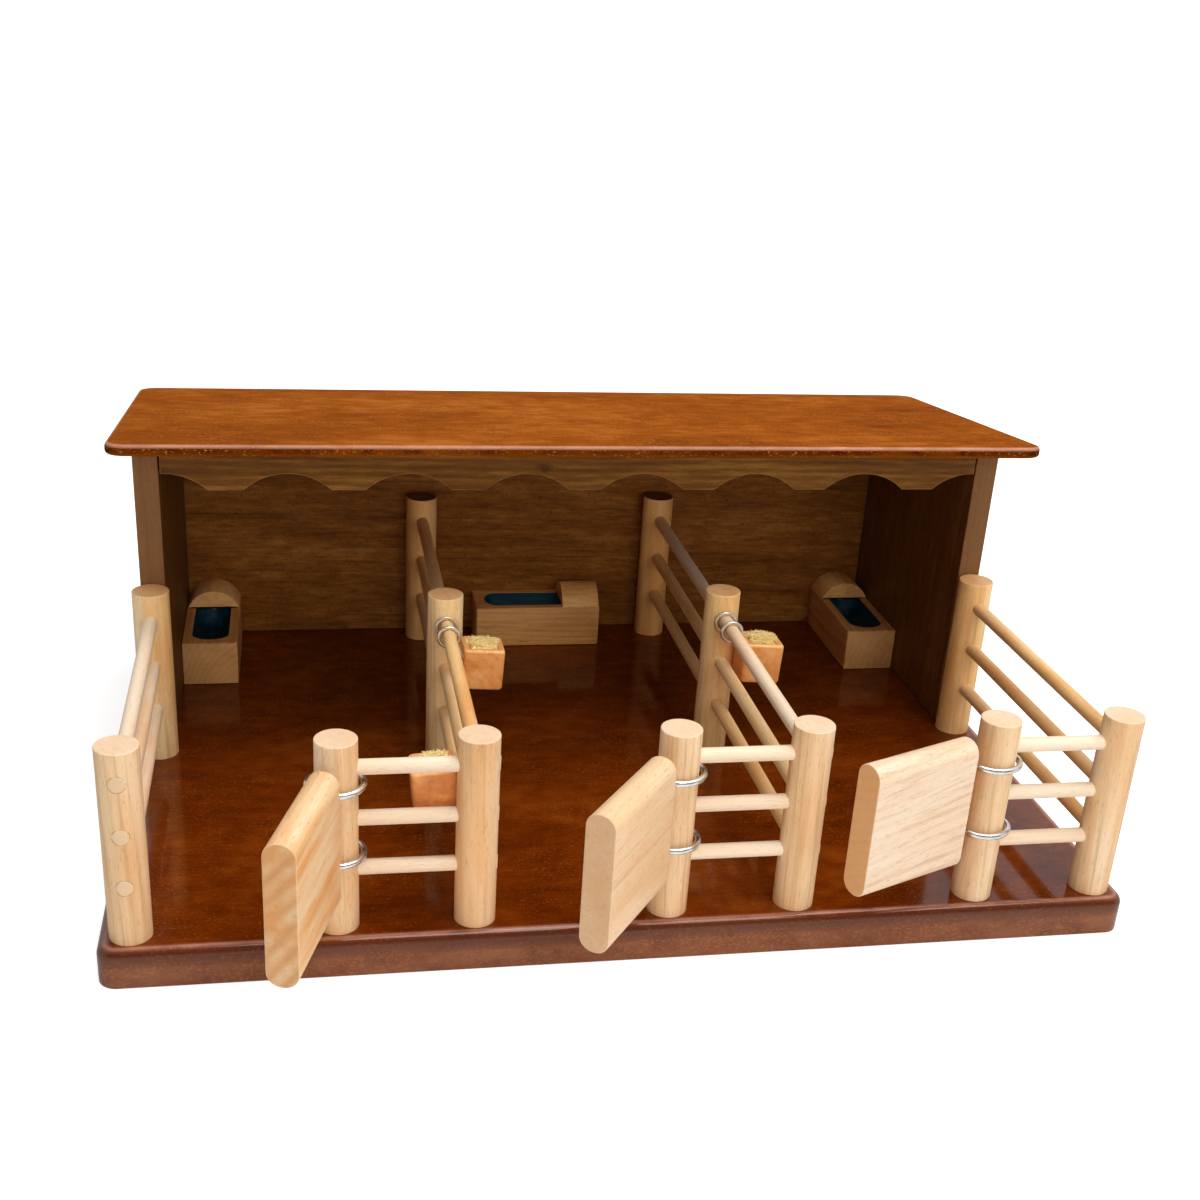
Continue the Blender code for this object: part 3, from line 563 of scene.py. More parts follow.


# On the base the dark edge tone is a painted reflection band on the top roundover, and the highlight tone is
# a painted highlight line.
base_stain = lacquer(
    "red_brown_lacquer", ((74, 27, 2), (106, 42, 4), (136, 64, 13)), speck_tone=(196, 124, 54),
    speck=0.32, side_speck=0.09, edge_tone=(58, 16, 6), edge_share=0.75, side_tone=(138, 80, 48),
    side_kind="MIX", painted_highlight_tone=(214, 150, 124), coat=0.72, coat_rough=0.08,
)
# On the roof the pale edge tone is a painted highlight along the top arris.
roof_stain = lacquer(
    "orange_brown_lacquer", ((114, 52, 2), (151, 75, 6), (184, 108, 34)), speck_tone=(224, 158, 84),
    speck=0.5, side_speck=0.0, edge_tone=(232, 178, 150), edge_share=0.6, side_tone=(122, 84, 84),
    side_kind="MULTIPLY", painted_highlight_tone=(240, 190, 150), coat=0.02, coat_rough=0.15,
)
# The walls' pale edge tone is a painted highlight along their arrises.
WALL_FINISH = dict(
    ring_gap=0.006, ring=0.1, fibre=0.7, fibre_scale=(80, 460), patch=0.35, streak=0.5,
    streak_tone=(64, 36, 12), pore=0.65, pore_tone=(50, 24, 8), end_tone=(150, 108, 72), end_share=0.5,
    edge_tone=(172, 130, 86), rough=0.55, shine=0.15,
)
side_wall_stain = wood("side_wall_stain", ((80, 46, 14), (110, 68, 26), (138, 94, 46)), **WALL_FINISH)
back_wall_stain = wood("back_wall_stain", ((84, 44, 10), (128, 76, 26), (168, 112, 50)), **WALL_FINISH)
# The fascia's pale edge tone is a painted highlight along the scallops and ends.
fascia_stain = wood(
    "fascia_timber", ((78, 42, 8), (114, 72, 22), (154, 108, 46)), ring_gap=0.004, ring=0.25, fibre=0.6,
    fibre_scale=(60, 700), streak_tone=(92, 60, 26), pore=0.5, pore_tone=(78, 48, 22),
    edge_tone=(200, 156, 104), edge_share=0.7, rough=0.55, shine=0.15,
    knot=((-0.0212, 0.0153, 0.163), 0.0022),
)
POST_TONES = ((222, 176, 126), (243, 207, 162), (253, 231, 198))
POST_FINISH = dict(
    ring=0.12, fibre=0.34, patch=0.85, flush=0.34, flush_tone=(238, 170, 102), streak=0.5,
    end_tone=(246, 214, 184), edge_tone=(252, 228, 196),
)
post_timber = wood("post_timber", POST_TONES, **POST_FINISH)
golden_post_timber = wood(
    "golden_post_timber", ((230, 174, 102), (253, 213, 148), (255, 234, 190)),
    **POST_FINISH | {"flush_tone": (216, 138, 58), "end_tone": (238, 172, 112)},
)
# The near-black end tone on the rear divider posts' tops is painted shade.
painted_shade_top_post_timber = wood(
    "painted_shade_top_post_timber", ((212, 152, 84), (236, 186, 116), (248, 214, 158)),
    **POST_FINISH | {"flush_tone": (216, 138, 58), "end_tone": (74, 32, 12), "end_share": 0.92},
)
bored_post_timber = wood(
    "bored_post_timber", POST_TONES, **POST_FINISH, bores=(-0.2116, -0.1551, 0.0447, 0.02335)
)
rail_timber = wood(
    "rail_timber", ((234, 200, 160), (249, 227, 198), (254, 242, 224)), ring=0.1, fibre=0.2, flush=0.12,
    flush_tone=(238, 176, 116), streak=0.15, pore=0.25, pore_tone=(176, 136, 100),
    end_tone=(232, 196, 152), end_share=0.75, edge_tone=(240, 206, 164),
)
golden_rail_timber = wood(
    "golden_rail_timber", ((226, 170, 100), (248, 206, 144), (253, 226, 180)), ring=0.1, fibre=0.3,
    patch=0.7, flush=0.2, flush_tone=(230, 152, 84), pore=0.3, end_tone=(226, 176, 120),
    edge_tone=(252, 224, 184),
)
GATE_FINISH = dict(
    waver=0.8, fibre=0.3, patch=0.4, flush_tone=(238, 166, 96), pore=0.4, pore_tone=(160, 116, 78),
    end_tone=(196, 144, 98), end_share=0.4, edge_tone=(252, 228, 192), rough=0.48,
)
gate_timbers = {
    "left": wood(
        "warm_gate_timber", ((212, 154, 104), (247, 200, 144), (253, 226, 184)), ring_gap=0.0068, ring=0.75,
        face_ring=0.25, flush=0.25, **GATE_FINISH,
    ),
    "middle": wood(
        "fine_gate_timber", ((226, 184, 138), (244, 210, 168), (252, 229, 198)), ring_gap=0.0013, ring=0.16,
        flush=0.3, **GATE_FINISH,
    ),
    "right": wood(
        "pale_gate_timber", ((218, 172, 136), (246, 217, 186), (253, 234, 212)), ring_gap=0.0046, ring=0.24,
        face_ring=0.75, line=2.5, flush=0.08, **GATE_FINISH | {"end_tone": (238, 172, 104), "end_share": 0.8},
    ),
}
# The flush tone reaches only the left box, through that box's tone, as painted shade.
box_timber = wood(
    "box_stain", ((214, 126, 54), (243, 164, 90), (252, 196, 126)), ring=0.14, fibre=0.35, patch=0.8,
    flush_tone=(196, 116, 58), streak=0.2, streak_tone=(170, 92, 40), pore=0.3, pore_tone=(150, 78, 36),
    edge_tone=(252, 204, 146), edge_share=0.85, rough=0.42, shine=0.4,
)
# The pale flush tone gives random flushes on the blocks, and painted light on the hoods, where their tone
# raises it.
trough_timber = wood(
    "trough_timber", ((182, 110, 46), (218, 150, 76), (240, 184, 110)), ring_gap=0.0034, ring=0.26,
    fibre=0.4, flush=0.15, flush_tone=(255, 204, 132), streak_tone=(136, 88, 42), pore=0.45,
    pore_tone=(96, 62, 36), end_tone=(206, 152, 92), end_share=0.4, edge_tone=(214, 168, 124),
    edge_share=0.6, rough=0.55, shine=0.2,
)
eye_zinc = zinc("zinc_plate", (205, 206, 204), (242, 241, 238), 0.18)
hanger_zinc = zinc("dull_zinc_plate", (210, 200, 180), (248, 240, 222), 0.32)
slot_blue = brushed_paint("slot_blue")
dry_straw = straw("dry_straw")


# ---- Base, roof and walls ----


def box_of(node_name):
    """Lowest and highest corner of a CAD node as arrays."""
    low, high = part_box(node_name)
    return np.array(low), np.array(high)


def build_base():
    """Board with round plan corners, a round top edge that carries a painted dark reflection band and a
    painted highlight line, and a little ease at its foot.
    """
    low, high = box_of("base_board")
    width, depth, thickness = high - low
    foot, top, corner = 0.0005, 0.0042, 0.008
    inset, height, edge, face = edge_levels(thickness, foot, top, rounds=10, stops=(0.009, 0.0102))
    rings = slab_rings(lambda i: rounded_outline(width - 2 * i, depth - 2 * i, corner - i, 12), inset, height)
    rings += (low + high) / 2 * [1, 1, 0] + [0, 0, low[2]]
    grain = grain_of(rings, 0, 3, pith=(0.09, 0.07), lean=0.01)
    # On the top roundover the edge share is a painted dark reflection band, and the tone share a painted
    # highlight line near the deck.
    round_share = np.arange(len(face)) - (len(face) - 12)
    painted_dark_reflection_band = np.interp(round_share, [-2, 0, 4, 7], [0, 0.9, 1, 0])
    painted_highlight_line = np.interp(round_share, [6.5, 8.5, 10.5], [0, 0.8, 0])
    node_names = ["base_board"]
    make_piece("dressed_base", rings, base_stain, grain, node_names, painted_dark_reflection_band, 1 - face, painted_highlight_line)


def build_roof():
    """Sloping panel with round corners and half-round edges."""
    low, high = box_of("roof_panel")
    centre = (low + high) / 2
    width = high[0] - low[0]
    depth = (high[1] - low[1] - ROOF_THICKNESS * math.sin(ROOF_SLOPE)) / math.cos(ROOF_SLOPE)
    edge_round, corner = 0.0019, 0.010
    inset, height, edge, face = edge_levels(ROOF_THICKNESS, edge_round, edge_round, rounds=8)
    rings = slab_rings(lambda i: rounded_outline(width - 2 * i, depth - 2 * i, corner - i, 14), inset, height)
    rings[..., 2] -= ROOF_THICKNESS / 2
    grain = grain_of(rings, 0, 5, pith=(0.08, 0.06), lean=0.01)
    # Only the top roundover keeps its edge share, which the roof's edge tone turns into a painted highlight.
    edge[: len(edge) // 2] = 0
    rings = rings @ turn_about("X", -ROOF_SLOPE) + centre
    make_piece("dressed_roof", rings, roof_stain, grain, ["roof_panel"], edge, 1 - face)


def board_between(name, outline, axis, start, end, ease, material, grain_axis, seed, nodes):
    """Board cut to an outline in the plane across an axis, with small round edges on both faces."""
    inset, height, edge, face = edge_levels(end - start, ease, ease, rounds=3, rest=0.0006)
    rings = slab_rings(lambda i: drawn_in(outline, i), inset, height)
    rings = np.roll(rings, axis + 1, -1)
    rings[..., axis] += start
    grain = grain_of(rings, grain_axis, seed, pith=(0.06, 0.035), lean=0.03)
    make_piece(name, rings, material, grain, nodes, edge, 1 - face)


def subdivided(corners, step):
    """Outline with points added along its sides, no further apart than a step."""
    corners = np.asarray(corners, float)
    sides = []
    for start, end in zip(corners, np.roll(corners, -1, 0)):
        count = max(1, int(np.linalg.norm(end - start) / step))
        sides.append(start + (end - start) * np.arange(count)[:, None] / count)
    return np.concatenate(sides)


def build_walls():
    """Side walls whose tops follow the roof, and the back panel between them."""
    slope = math.tan(ROOF_SLOPE)
    for seed, name in ((11, "left_wall"), (12, "right_wall")):
        low, high = box_of(name)
        drop = slope * (high[1] - low[1])
        corners = [(low[1], low[2]), (high[1], low[2]), (high[1], high[2] - drop), (low[1], high[2])]
        board_between(
            "dressed_" + name, subdivided(corners, 0.02), 0, low[0], high[0], 0.0006,
            side_wall_stain, 2, seed, [name],
        )
    low, high = box_of("back_wall")
    drop = slope * (high[1] - low[1])
    corners = [(low[2], low[0]), (high[2] - drop, low[0]), (high[2] - drop, high[0]), (low[2], high[0])]
    board_between(
        "dressed_back_wall", subdivided(corners, 0.02), 1, low[1], high[1], 0.0004,
        back_wall_stain, 0, 13, ["back_wall"],
    )


def build_fascia():
    """Board with flat teeth between scallops.

    Each scallop is an arc of a circle through the tooth's two corners, and the board's ends cut through
    the middle of a scallop.
    """
    low, high = box_of("fascia_board")
    half = (high[0] - low[0]) / 2
    rise, tooth, teeth, margin = 0.0082, 0.0165, 7, 0.0009
    pitch = 2 * (half - margin) / teeth
    half_chord = (pitch - tooth) / 2
    radius = (half_chord ** 2 + rise ** 2) / (2 * rise)
    half_arc = math.asin(half_chord / radius)
    angle = half_arc * np.linspace(-1, 1, 25)
    centre = (np.arange(teeth + 1) - teeth / 2) * pitch
    x = (centre[:, None] + radius * np.sin(angle)).ravel()
    z = np.tile(low[2] + rise - radius * (1 - np.cos(angle)), teeth + 1)
    inside = np.abs(x) < half - 0.2 * margin
    lower = np.stack([x[inside], z[inside]], -1)
    end_rise = low[2] + rise - radius + math.sqrt(radius ** 2 - margin ** 2)
    lower = np.concatenate([[(-half, end_rise)], lower, [(half, end_rise)]])
    back_drop = math.tan(ROOF_SLOPE) * (high[1] - low[1])
    top_x = np.linspace(half, -half, 30)
    top = np.stack([top_x, np.full(30, high[2] - back_drop)], -1)
    outline = np.concatenate([lower, top])
    inset, height, edge, face = edge_levels(high[1] - low[1], 0.0005, 0.0005, rounds=3, rest=0.0006)
    rings = slab_rings(lambda i: drawn_in(outline, i), inset, height)
    rings = np.stack([rings[..., 0], high[1] - rings[..., 2], rings[..., 1]], -1)
    grain = grain_of(rings, 0, 21, pith=(0.03, 0.05), lean=0.02)
    # The edge share, which the fascia's edge tone turns into a painted highlight, stops 4 mm below the top.
    edge = edge[:, None] * (rings[..., 2] < high[2] - 0.004)
    make_piece("dressed_fascia", rings, fascia_stain, grain, ["fascia_board"], edge, 1 - face)


# ---- Posts and rails ----


def build_bars():
    """Posts and dowel rails: round bars with eased ends, each with its own grain."""
    warm = {
        "left_rear_post": 0.2, "left_gate_post": 0.4, "left_divider_front_post": 0.25,
        "left_divider_rear_post": 0.5, "right_divider_rear_post": 0.5, "right_rear_post": 0.2,
        "left_side_rail_middle": 0.7, "left_side_rail_bottom": 0.9, "left_divider_rail_top": 0.7,
        "left_divider_rail_middle": 0.3, "right_divider_rail_top": 1.3,
    }
    warm |= {f"right_side_rail_{level}": 0.4 for level in ("top", "middle", "bottom")}
    for seed, name in enumerate(sorted(frame["nodes"])):
        low, high = box_of(name)
        centre, axis = (low + high) / 2, int(np.argmax(high - low))
        if name.endswith("_post"):
            rings, edge, end = bar_rings(2, low[2], high[2], POST_RADIUS, 72, 0.0005, centre)
            grain = grain_of(rings - centre, 2, seed + 40, pith=(0.016, 0.012), lean=0.04)
            timber = golden_post_timber if "rear" in name or "middle_post" in name else post_timber
            # The rear divider posts take the timber with painted shade on their tops.
            timber = painted_shade_top_post_timber if "divider_rear" in name else timber
            timber = bored_post_timber if name == "left_front_post" else timber
            slot, warmth = "post_wood", warm.get(name, 0.0)
        elif "_rail_" in name:
            rings, edge, end = bar_rings(
                axis, low[axis], high[axis], RAIL_RADIUS, 40, 0.0002, centre,
                "left_side" in name, "left_front" in name or "middle_front" in name,
            )
            grain = grain_of(rings - centre, axis, seed + 90, pith=(0.012, 0.009), lean=0.03)
            golden = ("divider" in name or "right_side" in name) and name != "right_divider_rail_top"
            timber = golden_rail_timber if golden else rail_timber
            slot, warmth = "rail_wood", warm.get(name, 0.0) * (1 - end)
            # Only the rear half of the right divider's top rail takes its warm tone: painted shade on the
            # part under the roof.
            if name == "right_divider_rail_top":
                warmth = warmth * (rings[..., axis] > centre[axis])
        else:
            continue
        make_piece("turned_" + name, rings, timber, grain, [name], edge, end, warmth)


# ---- Gates ----


def build_gates():
    """Slab gates with round long edges, and the screw eyes that carry them round their posts."""
    joints = {joint["name"]: joint for joint in frame["joints"]}
    height, thickness, length = GATE_SIZE
    warmth = {"left": 1.0, "middle": 0.1, "right": 0.0}
    piths = {"left": (0.13, 0.1), "middle": (0.16, 0.01), "right": (0.09, 0.03)}
    for seed, stall in enumerate(STALLS):
        body = stall + "_gate_leaf"
        foot = np.array(joints[stall + "_gate_hinge"]["pos_m"])
        turn = turn_about("Z", GATE_OPEN[stall])
        inset, run, edge, face = edge_levels(length, 0.0004, 0.0004, rounds=3, rest=0.0008)
        shape = slab_rings(
            lambda i: rounded_outline(height - 2 * i, thickness - 2 * i, GATE_EDGE_RADIUS - i, 14), inset, run
        )
        grain = grain_of(shape, 2, seed + 70, pith=piths[stall], lean=0.14 if stall == "right" else 0.03)
        rise, aside, run = np.moveaxis(shape, -1, 0)
        local = np.stack([-GATE_HINGE_DISTANCE - run, aside, height / 2 + rise], -1)
        make_piece(
            f"sanded_{stall}_gate", local @ turn + foot, gate_timbers[stall], grain,
            [stall + "_gate"], edge, face ** 3, warmth[stall], body,
        )
        for level, lift in EYE_HEIGHTS.items():
            flat = eye_path(EYE_LOOP, EYE_REACH, EYE_WIRE)
            path = np.stack([flat[:, 0] - EYE_SETBACK, flat[:, 1], np.full(len(flat), lift)], -1)
            rings, grain = tube_rings(path, (0, 0, 1), EYE_WIRE, 18)
            name = f"{stall}_gate_{level}_eye"
            rings = rings @ turn + foot
            make_piece("bent_" + name, rings, eye_zinc, grain, [name], body=body)


# ---- Feed boxes ----


def hay_tuft(name, centre, across, half, body, seed):
    """Chopped straw in a recess: short bent stalks laid at random over a low mound.

    A stalk is a thin four-sided tube along an arc. Its height follows the mound's dome, which falls off
    as the fourth power of the distance from the middle, and waves in the reach make the outline uneven.
    """
    draw = np.random.default_rng(seed)
    stalks, steps, sides = 520, 5, 4
    bearing = draw.uniform(0, 2 * math.pi, stalks)
    wave = 1.04 + 0.13 * np.sin(3 * bearing + seed) + 0.09 * np.sin(5 * bearing + 2 * seed)
    share = np.sqrt(draw.uniform(0, 1, stalks)) * wave
    spot = np.stack([np.cos(bearing), np.sin(bearing)], -1) * share[:, None] * half
    dome = 0.0002 + 0.0013 * (1 - np.clip(share, 0, 1) ** 4)
    heading = draw.uniform(0, 2 * math.pi, stalks)
    tilt = draw.normal(0, 0.22, stalks)
    span = draw.uniform(0.0016, 0.0046, stalks)
    bow = draw.normal(0, 0.25, stalks)
    t = np.linspace(-0.5, 0.5, steps)
    run = span[:, None] * t
    swing = heading[:, None] + bow[:, None] * t * 3
    flat = np.stack([run * np.cos(swing), run * np.sin(swing)], -1)
    limit = half - 0.0003
    place = np.clip(spot[:, None] + flat, -half - 0.0012, half + 0.0012)
    outside = np.any(np.abs(place) > limit, axis=2)
    rise = dome[:, None] + draw.uniform(-0.0012, 0.0007, stalks)[:, None] + run * np.sin(tilt)[:, None]
    rise = np.where(outside, np.maximum(rise, 0.0003), rise)
    path = np.concatenate([place, np.maximum(rise, -0.0040)[..., None]], -1)
    way = unit(np.gradient(path, axis=1))
    side = unit(np.cross(way, [0, 0, 1.0]))
    over = np.cross(side, way)
    thick = draw.uniform(0.00012, 0.00026, stalks)[:, None, None, None]
    angle = 2 * math.pi * np.arange(sides) / sides + math.pi / 4
    ring = side[:, :, None] * np.cos(angle)[:, None] + over[:, :, None] * np.sin(angle)[:, None]
    points = path[:, :, None] + thick * ring
    index = np.arange(stalks * steps * sides).reshape(stalks, steps, sides)
    faces = np.concatenate([ring_quads(index), index[:, 0, ::-1], index[:, -1]]).tolist()
    points = points.reshape(-1, 3)

    radius = np.linspace(0, 1, 14)[1:]
    angle = 2 * math.pi * np.arange(40) / 40
    square = np.maximum(np.abs(np.cos(angle)), np.abs(np.sin(angle)))
    reach = radius[:, None] * (limit.min() / square ** 0.85)
    bumps = draw.normal(0, 0.00013, reach.shape)
    high = 0.0007 * (1 - radius[:, None] ** 4) + bumps * (1 - radius[:, None]) - 0.0012 * radius[:, None] ** 6
    top = np.stack([reach * np.cos(angle), reach * np.sin(angle), high], -1)
    under = top[-1:] * [1, 1, 0] + [0, 0, -0.0043]
    rings = np.concatenate([under, top[::-1]])
    faces += skin_faces(*rings.shape[:2], len(points))
    points = np.concatenate([points, rings.reshape(-1, 3)]) @ across + centre
    finish_piece(name, points, faces, dry_straw, points, [], body)


def build_feed_boxes():
    """Boxes with a hay recess, hung beside a divider's top rail by two wire eyes."""
    width, depth, height = BOX_SIZE
    plans = (("left", -DIVIDER_X, -1, 4.8), ("middle", -DIVIDER_X, 1, 3.3), ("right", DIVIDER_X, 1, 3.3))
    for seed, (stall, divider_x, side, tilt) in enumerate(plans):
        body = stall + "_feed"
        low, high = box_of(stall + "_feed_box_hanger")
        origin = np.array([divider_x, (low[1] + high[1]) / 2, RAIL_TOP])
        turn = turn_about("Y", side * math.radians(tilt))
        centre = np.array([side * (BOX_OFFSET + width / 2), 0, -BOX_DROP - height])
        inset, run, edge, face = edge_levels(height, 0.0015, 0.0015, rounds=6)
        inset = np.concatenate([inset[:-1], BOX_RIM + np.array([-0.0003, 0, 0.0001, 0.0002, 0.001])])
        sunk = np.array([0, 0.0003, BOX_RECESS - 0.0003, BOX_RECESS, BOX_RECESS])
        run = np.concatenate([run[:-1], height - sunk])
        edge = np.concatenate([edge[:-1], [0.5, 0.8, 0, 0, 0]])
        shape = slab_rings(
            lambda i: rounded_outline(width - 2 * i, depth - 2 * i, max(BOX_CORNER - i / 2, 0.0008), 8),
            inset, run,
        )
        grain = grain_of(shape, 1, seed + 7, pith=(0.03, 0.02), lean=0.06)
        # The left box's tone darkens it towards the box flush tone: painted shade.
        make_piece(
            f"eased_{stall}_feed_box", (shape + centre) @ turn + origin, box_timber, grain,
            [stall + "_feed_box"], edge, 0.0, 1.3 if stall == "left" else 0.0, body,
        )
        top = centre + [0, 0, height]
        half = np.array([width, depth]) / 2 - BOX_RIM
        hay_tuft(stall + "_feed_hay", top @ turn + origin, turn, half, body, seed + 300)
        build_hanger(stall, side, origin, turn, body)


def build_hanger(stall, side, origin, turn, body):
    """Two wire eyes round the rail as one piece, joined by a run inside the box."""
    way = np.array([side * math.cos(HANGER_ANGLE), 0, -math.sin(HANGER_ANGLE)])
    square = np.array([way[2], 0, -way[0]]) * side
    flat = eye_path(HANGER_LOOP, HANGER_REACH, HANGER_WIRE)
    pieces = []
    for y in (-HANGER_HALF_SPACING, HANGER_HALF_SPACING):
        path = flat[:, :1] * -way + flat[:, 1:] * square + [0, y, -HANGER_SAG]
        pieces.append(tube_rings(path, (0, 1, 0), HANGER_WIRE, 12))
    distance, radius = HANGER_JOINT
    run = np.linspace(-1, 1, 9)[:, None] * [0, HANGER_HALF_SPACING, 0] + way * distance - [0, 0, HANGER_SAG]
    pieces.append(tube_rings(run, way, radius, 12))
    points, grains, faces = np.empty((0, 3)), np.empty((0, 3)), []
    for rings, grain in pieces:
        faces += skin_faces(*rings.shape[:2], len(points))
        points = np.concatenate([points, rings.reshape(-1, 3)])
        grains = np.concatenate([grains, grain.reshape(-1, 3)])
    name, points = stall + "_feed_box_hanger", points @ turn + origin
    finish_piece("bent_" + name, points, faces, hanger_zinc, grains, [name], body)


# ---- Troughs ----


def scoop_at(run):
    """Half width and depth of the scoop at each distance from the block's open end.

    Both follow a quarter ellipse in from the tip, stay level, and follow another one out under the hood.
    """
    near = np.clip((SCOOP_FULL - run) / (SCOOP_FULL - SCOOP_TIP), 0, 1)
    far = np.clip((run - HOOD_START) / (SCOOP_END - HOOD_START), 0, 1)
    share = np.sqrt(1 - near ** 2) * np.sqrt(1 - far ** 2)
    return np.maximum(SCOOP_HALF_WIDTH * share, 0.0004), SCOOP_DEPTH * share


def scoop_arc(run, steps, sink=0.0, trim=0.0):
    """Points over the scoop: an ellipse's lower half at each distance along the block."""
    half, depth = scoop_at(run)
    angle = np.linspace(0, math.pi, steps)
    y = np.maximum(half - trim, 0.0002)[:, None] * np.cos(angle)
    z = TROUGH_SIZE[2] - np.maximum(depth - trim, 0)[:, None] * np.sin(angle) - sink
    return np.stack([np.repeat(run[:, None], steps, 1), y, z], -1)


def block_line(run, ease, y, z):
    """One point for each distance along a block, drawn in at the block's eased ends."""
    aside = np.sign(y) * (abs(y) - ease)
    level = z + ease * (1 if z < TROUGH_SIZE[2] / 2 else -1)
    return np.stack([run, aside, level], -1)[:, None]


def build_troughs():
    """Blocks with a scooped slot painted blue, and a half-round hood over the far end."""
    length, width, height = TROUGH_SIZE
    near = SCOOP_FULL - (SCOOP_FULL - SCOOP_TIP) * np.cos(np.linspace(0, math.pi / 2, 18))
    far = HOOD_START + (SCOOP_END - HOOD_START) * np.sin(np.linspace(0, math.pi / 2, 12))
    eased = np.array([0, 0.0002, 0.0004, length - 0.0004, length - 0.0002, length])
    level = np.linspace(SCOOP_FULL, HOOD_START, 20)
    run = np.unique(np.concatenate([eased, [0.003], near, level, far, [0.066]]))
    ease = np.interp(run, eased, [0.0003, 0.0001, 0, 0, 0.0001, 0.0003])
    half = width / 2
    for seed, stall in enumerate(STALLS):
        name = stall + "_trough"
        low, high = box_of(name)
        if stall == "middle":
            turn, place = np.eye(3), np.array([low[0], (low[1] + high[1]) / 2, low[2]])
        else:
            turn, place = turn_about("Z", math.pi / 2), np.array([(low[0] + high[0]) / 2, low[1], low[2]])
        arc = scoop_arc(run, 33)
        arc[..., 2] -= ease[:, None] * (scoop_at(run)[1] < 1e-6)[:, None]
        round_by = 0.0003
        left_side = [
            (-half + 0.0012, height), (-half + round_by, height), (-half, height - round_by),
            (-half, round_by), (-half + round_by, 0.0),
        ]
        right_side = [(-y, z) for y, z in left_side[::-1]]
        lines = [block_line(run, ease, y, z) for y, z in left_side + right_side]
        rings = np.concatenate([arc] + lines, 1)
        grain = grain_of(rings, 0, seed + 31, pith=(0.03, 0.018))
        edge = np.zeros(rings.shape[:2])
        edge[:, [34, 35, 40, 41]] = 1
        edge[:, [0, 32]] = 0.8
        ends = (ease > 0)[:, None] * 1.0
        edge = np.maximum(edge * 0.8, ends * 0.5)
        rings = rings @ turn + place
        make_piece("scooped_" + name, rings, trough_timber, grain, [name], edge, ends)

        inner = np.linspace(SCOOP_TIP + 0.0003, SCOOP_END - 0.0003, 60)
        upper = scoop_arc(inner, 25, sink=0.00010, trim=0.00016)
        under = scoop_arc(inner, 25, sink=0.00045, trim=-0.0002)
        lining = np.concatenate([upper, under[:, ::-1]], 1)
        grain = grain_of(lining, 0, seed + 61)
        lining = lining @ turn + place
        make_piece(stall + "_slot_paint", lining, slot_blue, grain, [])

        hood_half = width / 2 - 0.0004
        radius = (hood_half ** 2 + HOOD_RISE ** 2) / (2 * HOOD_RISE)
        half_arc = math.asin(hood_half / radius)
        angle = half_arc * np.linspace(1, -1, 41)
        curve = np.stack([radius * np.sin(angle), height + HOOD_RISE - radius * (1 - np.cos(angle))], -1)
        foot = [(-hood_half, height - 0.0001), (hood_half, height - 0.0001)]
        outline = np.concatenate([curve, foot])
        hood_length = length - 0.0004 - HOOD_START
        inset, step, edge, face = edge_levels(hood_length, 0.0004, 0.0004, rounds=3, rest=0.0005)
        rings = slab_rings(lambda i: drawn_in(outline, i), inset, step)
        rings = np.roll(rings, 1, -1) + [HOOD_START, 0, 0]
        grain = grain_of(rings, 0, seed + 37, pith=(0.03, 0.018))
        rings = rings @ turn + place
        # The hood's tone lightens it towards the trough's pale flush tone: painted light.
        make_piece(stall + "_trough_hood", rings, trough_timber, grain, [], edge, face, 1.0)


build_base()
build_roof()
build_walls()
build_fascia()
build_bars()
build_gates()
build_feed_boxes()
build_troughs()


# ---- Camera, floor and light ----


def build_camera():
    """Camera where the photograph was taken from: its place, heading, tilt, roll, lens and shift."""
    heading, tilt, roll = 0.1962, -0.4245, 0.0591
    level = np.array([math.cos(heading), -math.sin(heading), 0.0])
    ahead = np.array([math.sin(heading), math.cos(heading), 0.0])
    forward = ahead * math.cos(tilt) + [0, 0, math.sin(tilt)]
    upward = np.cross(level, forward)
    right = math.cos(roll) * level + math.sin(roll) * upward
    top = -math.sin(roll) * level + math.cos(roll) * upward
    data = bpy.data.cameras.new("camera")
    data.sensor_width = 36.0
    data.sensor_fit = "HORIZONTAL"
    data.lens = 45.85
    data.shift_x = 0.0149
    data.shift_y = 0.05725
    data.clip_start = 0.01
    camera = placed("camera", data)
    matrix = np.eye(4)
    matrix[:3, 0], matrix[:3, 1], matrix[:3, 2] = right, top, -forward
    matrix[:3, 3] = (-0.1387, -0.7010, 0.3840)
    camera.matrix_world = Matrix(matrix.tolist())
    bpy.context.scene.camera = camera


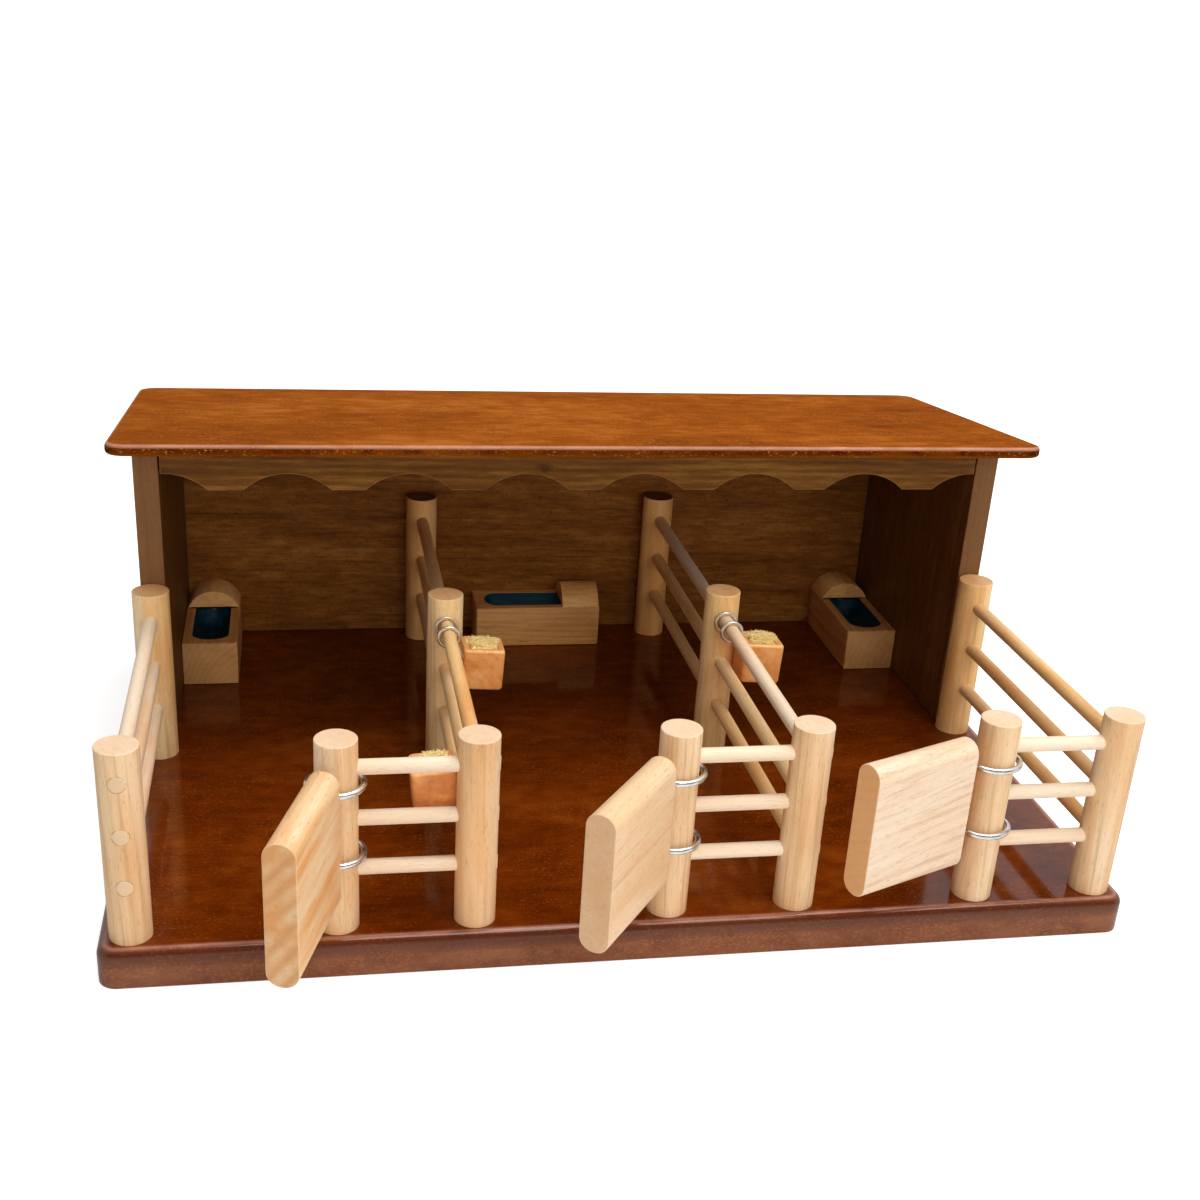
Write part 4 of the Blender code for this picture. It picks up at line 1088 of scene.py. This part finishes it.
def build_floor():
    """Pale floor that shows white round the object and keeps its shadow."""
    material, tree, shader = start_material("pale_floor")
    tree.nodes.remove(shader)
    output = tree.nodes["Material Output"]
    path = node(tree, "LightPath")
    diffuse = node(tree, "BsdfDiffuse", {"Color": (0.78, 0.78, 0.78, 1)})
    away = far_from(tree, object_place(tree))
    seen = product(tree, path.outputs["Is Camera Ray"], spread(tree, away, 0.5, 2.0, 0.7))
    mirrored = product(tree, path.outputs["Is Glossy Ray"], 0.2)
    glow = node(tree, "Emission", {"Color": (1, 1, 1, 1), "Strength": calc(tree, "MAXIMUM", seen, mirrored)})
    both = node(tree, "AddShader", {0: diffuse.outputs[0], 1: glow.outputs[0]})
    tree.links.new(both.outputs[0], output.inputs["Surface"])
    reach, level = 12.0, -0.0002
    corners = np.array([[-1, -1], [1, -1], [1, 1], [-1, 1]]) * reach
    mesh = bpy.data.meshes.new("floor")
    mesh.from_pydata(np.insert(corners, 2, level, axis=1), [], [(0, 1, 2, 3)])
    mesh.materials.append(material)
    floor = placed("floor", mesh)


def build_world():
    """White where the camera and reflections see it, and a soft fill that comes mostly from above.

    Reflections find a darker patch of studio in front of the object, as high as a camera stands.
    """
    world = bpy.data.worlds.new("studio")
    bpy.context.scene.world = world
    world.use_nodes = True
    tree = world.node_tree
    output = tree.nodes["World Output"]
    path = node(tree, "LightPath")
    way = node(tree, "SeparateXYZ", {0: node(tree, "TexCoord").outputs["Generated"]})
    ahead = spread(tree, product(tree, way.outputs[1], -1.0), 0.15, 0.5)
    raised = spread(tree, way.outputs[2], 0.08, 0.3)
    room = calc(tree, "SUBTRACT", 1.0, product(tree, product(tree, ahead, raised), 0.8))
    sky = spread(tree, way.outputs[2], 0.0, 0.8, 0.13, 0.41)
    fill = node(tree, "Background", {"Color": (1.0, 0.99, 0.97, 1), "Strength": sky})
    mirrored = node(tree, "Background", {"Color": (1, 1, 1, 1), "Strength": room})
    white = node(tree, "Background", {"Color": (1, 1, 1, 1), "Strength": 1.0})
    shiny = calc(tree, "MAXIMUM", path.outputs["Is Glossy Ray"], path.outputs["Is Transmission Ray"])
    part = node(tree, "MixShader", {0: shiny, 1: fill.outputs[0], 2: mirrored.outputs[0]})
    seen = path.outputs["Is Camera Ray"]
    both = node(tree, "MixShader", {0: seen, 1: part.outputs[0], 2: white.outputs[0]})
    tree.links.new(both.outputs[0], output.inputs["Surface"])


def build_lamp(name, place, aim, size, energy):
    """Soft square lamp that looks at a point."""
    data = bpy.data.lights.new(name, "AREA")
    data.size = size
    data.energy = energy
    lamp = placed(name, data)
    lamp.location = place
    lamp.rotation_euler = (Vector(aim) - Vector(place)).to_track_quat("-Z", "Y").to_euler()


build_camera()
build_floor()
build_world()
build_lamp("overhead", (0.4, -0.2, 1.7), (0.0, -0.05, 0.05), 1.2, 23.0)
build_lamp("front", (0.35, -2.2, 0.66), (0.0, -0.05, 0.05), 1.5, 21.0)
bpy.data.objects["front"].visible_glossy = False

bpy.context.scene.view_settings.view_transform = "Standard"
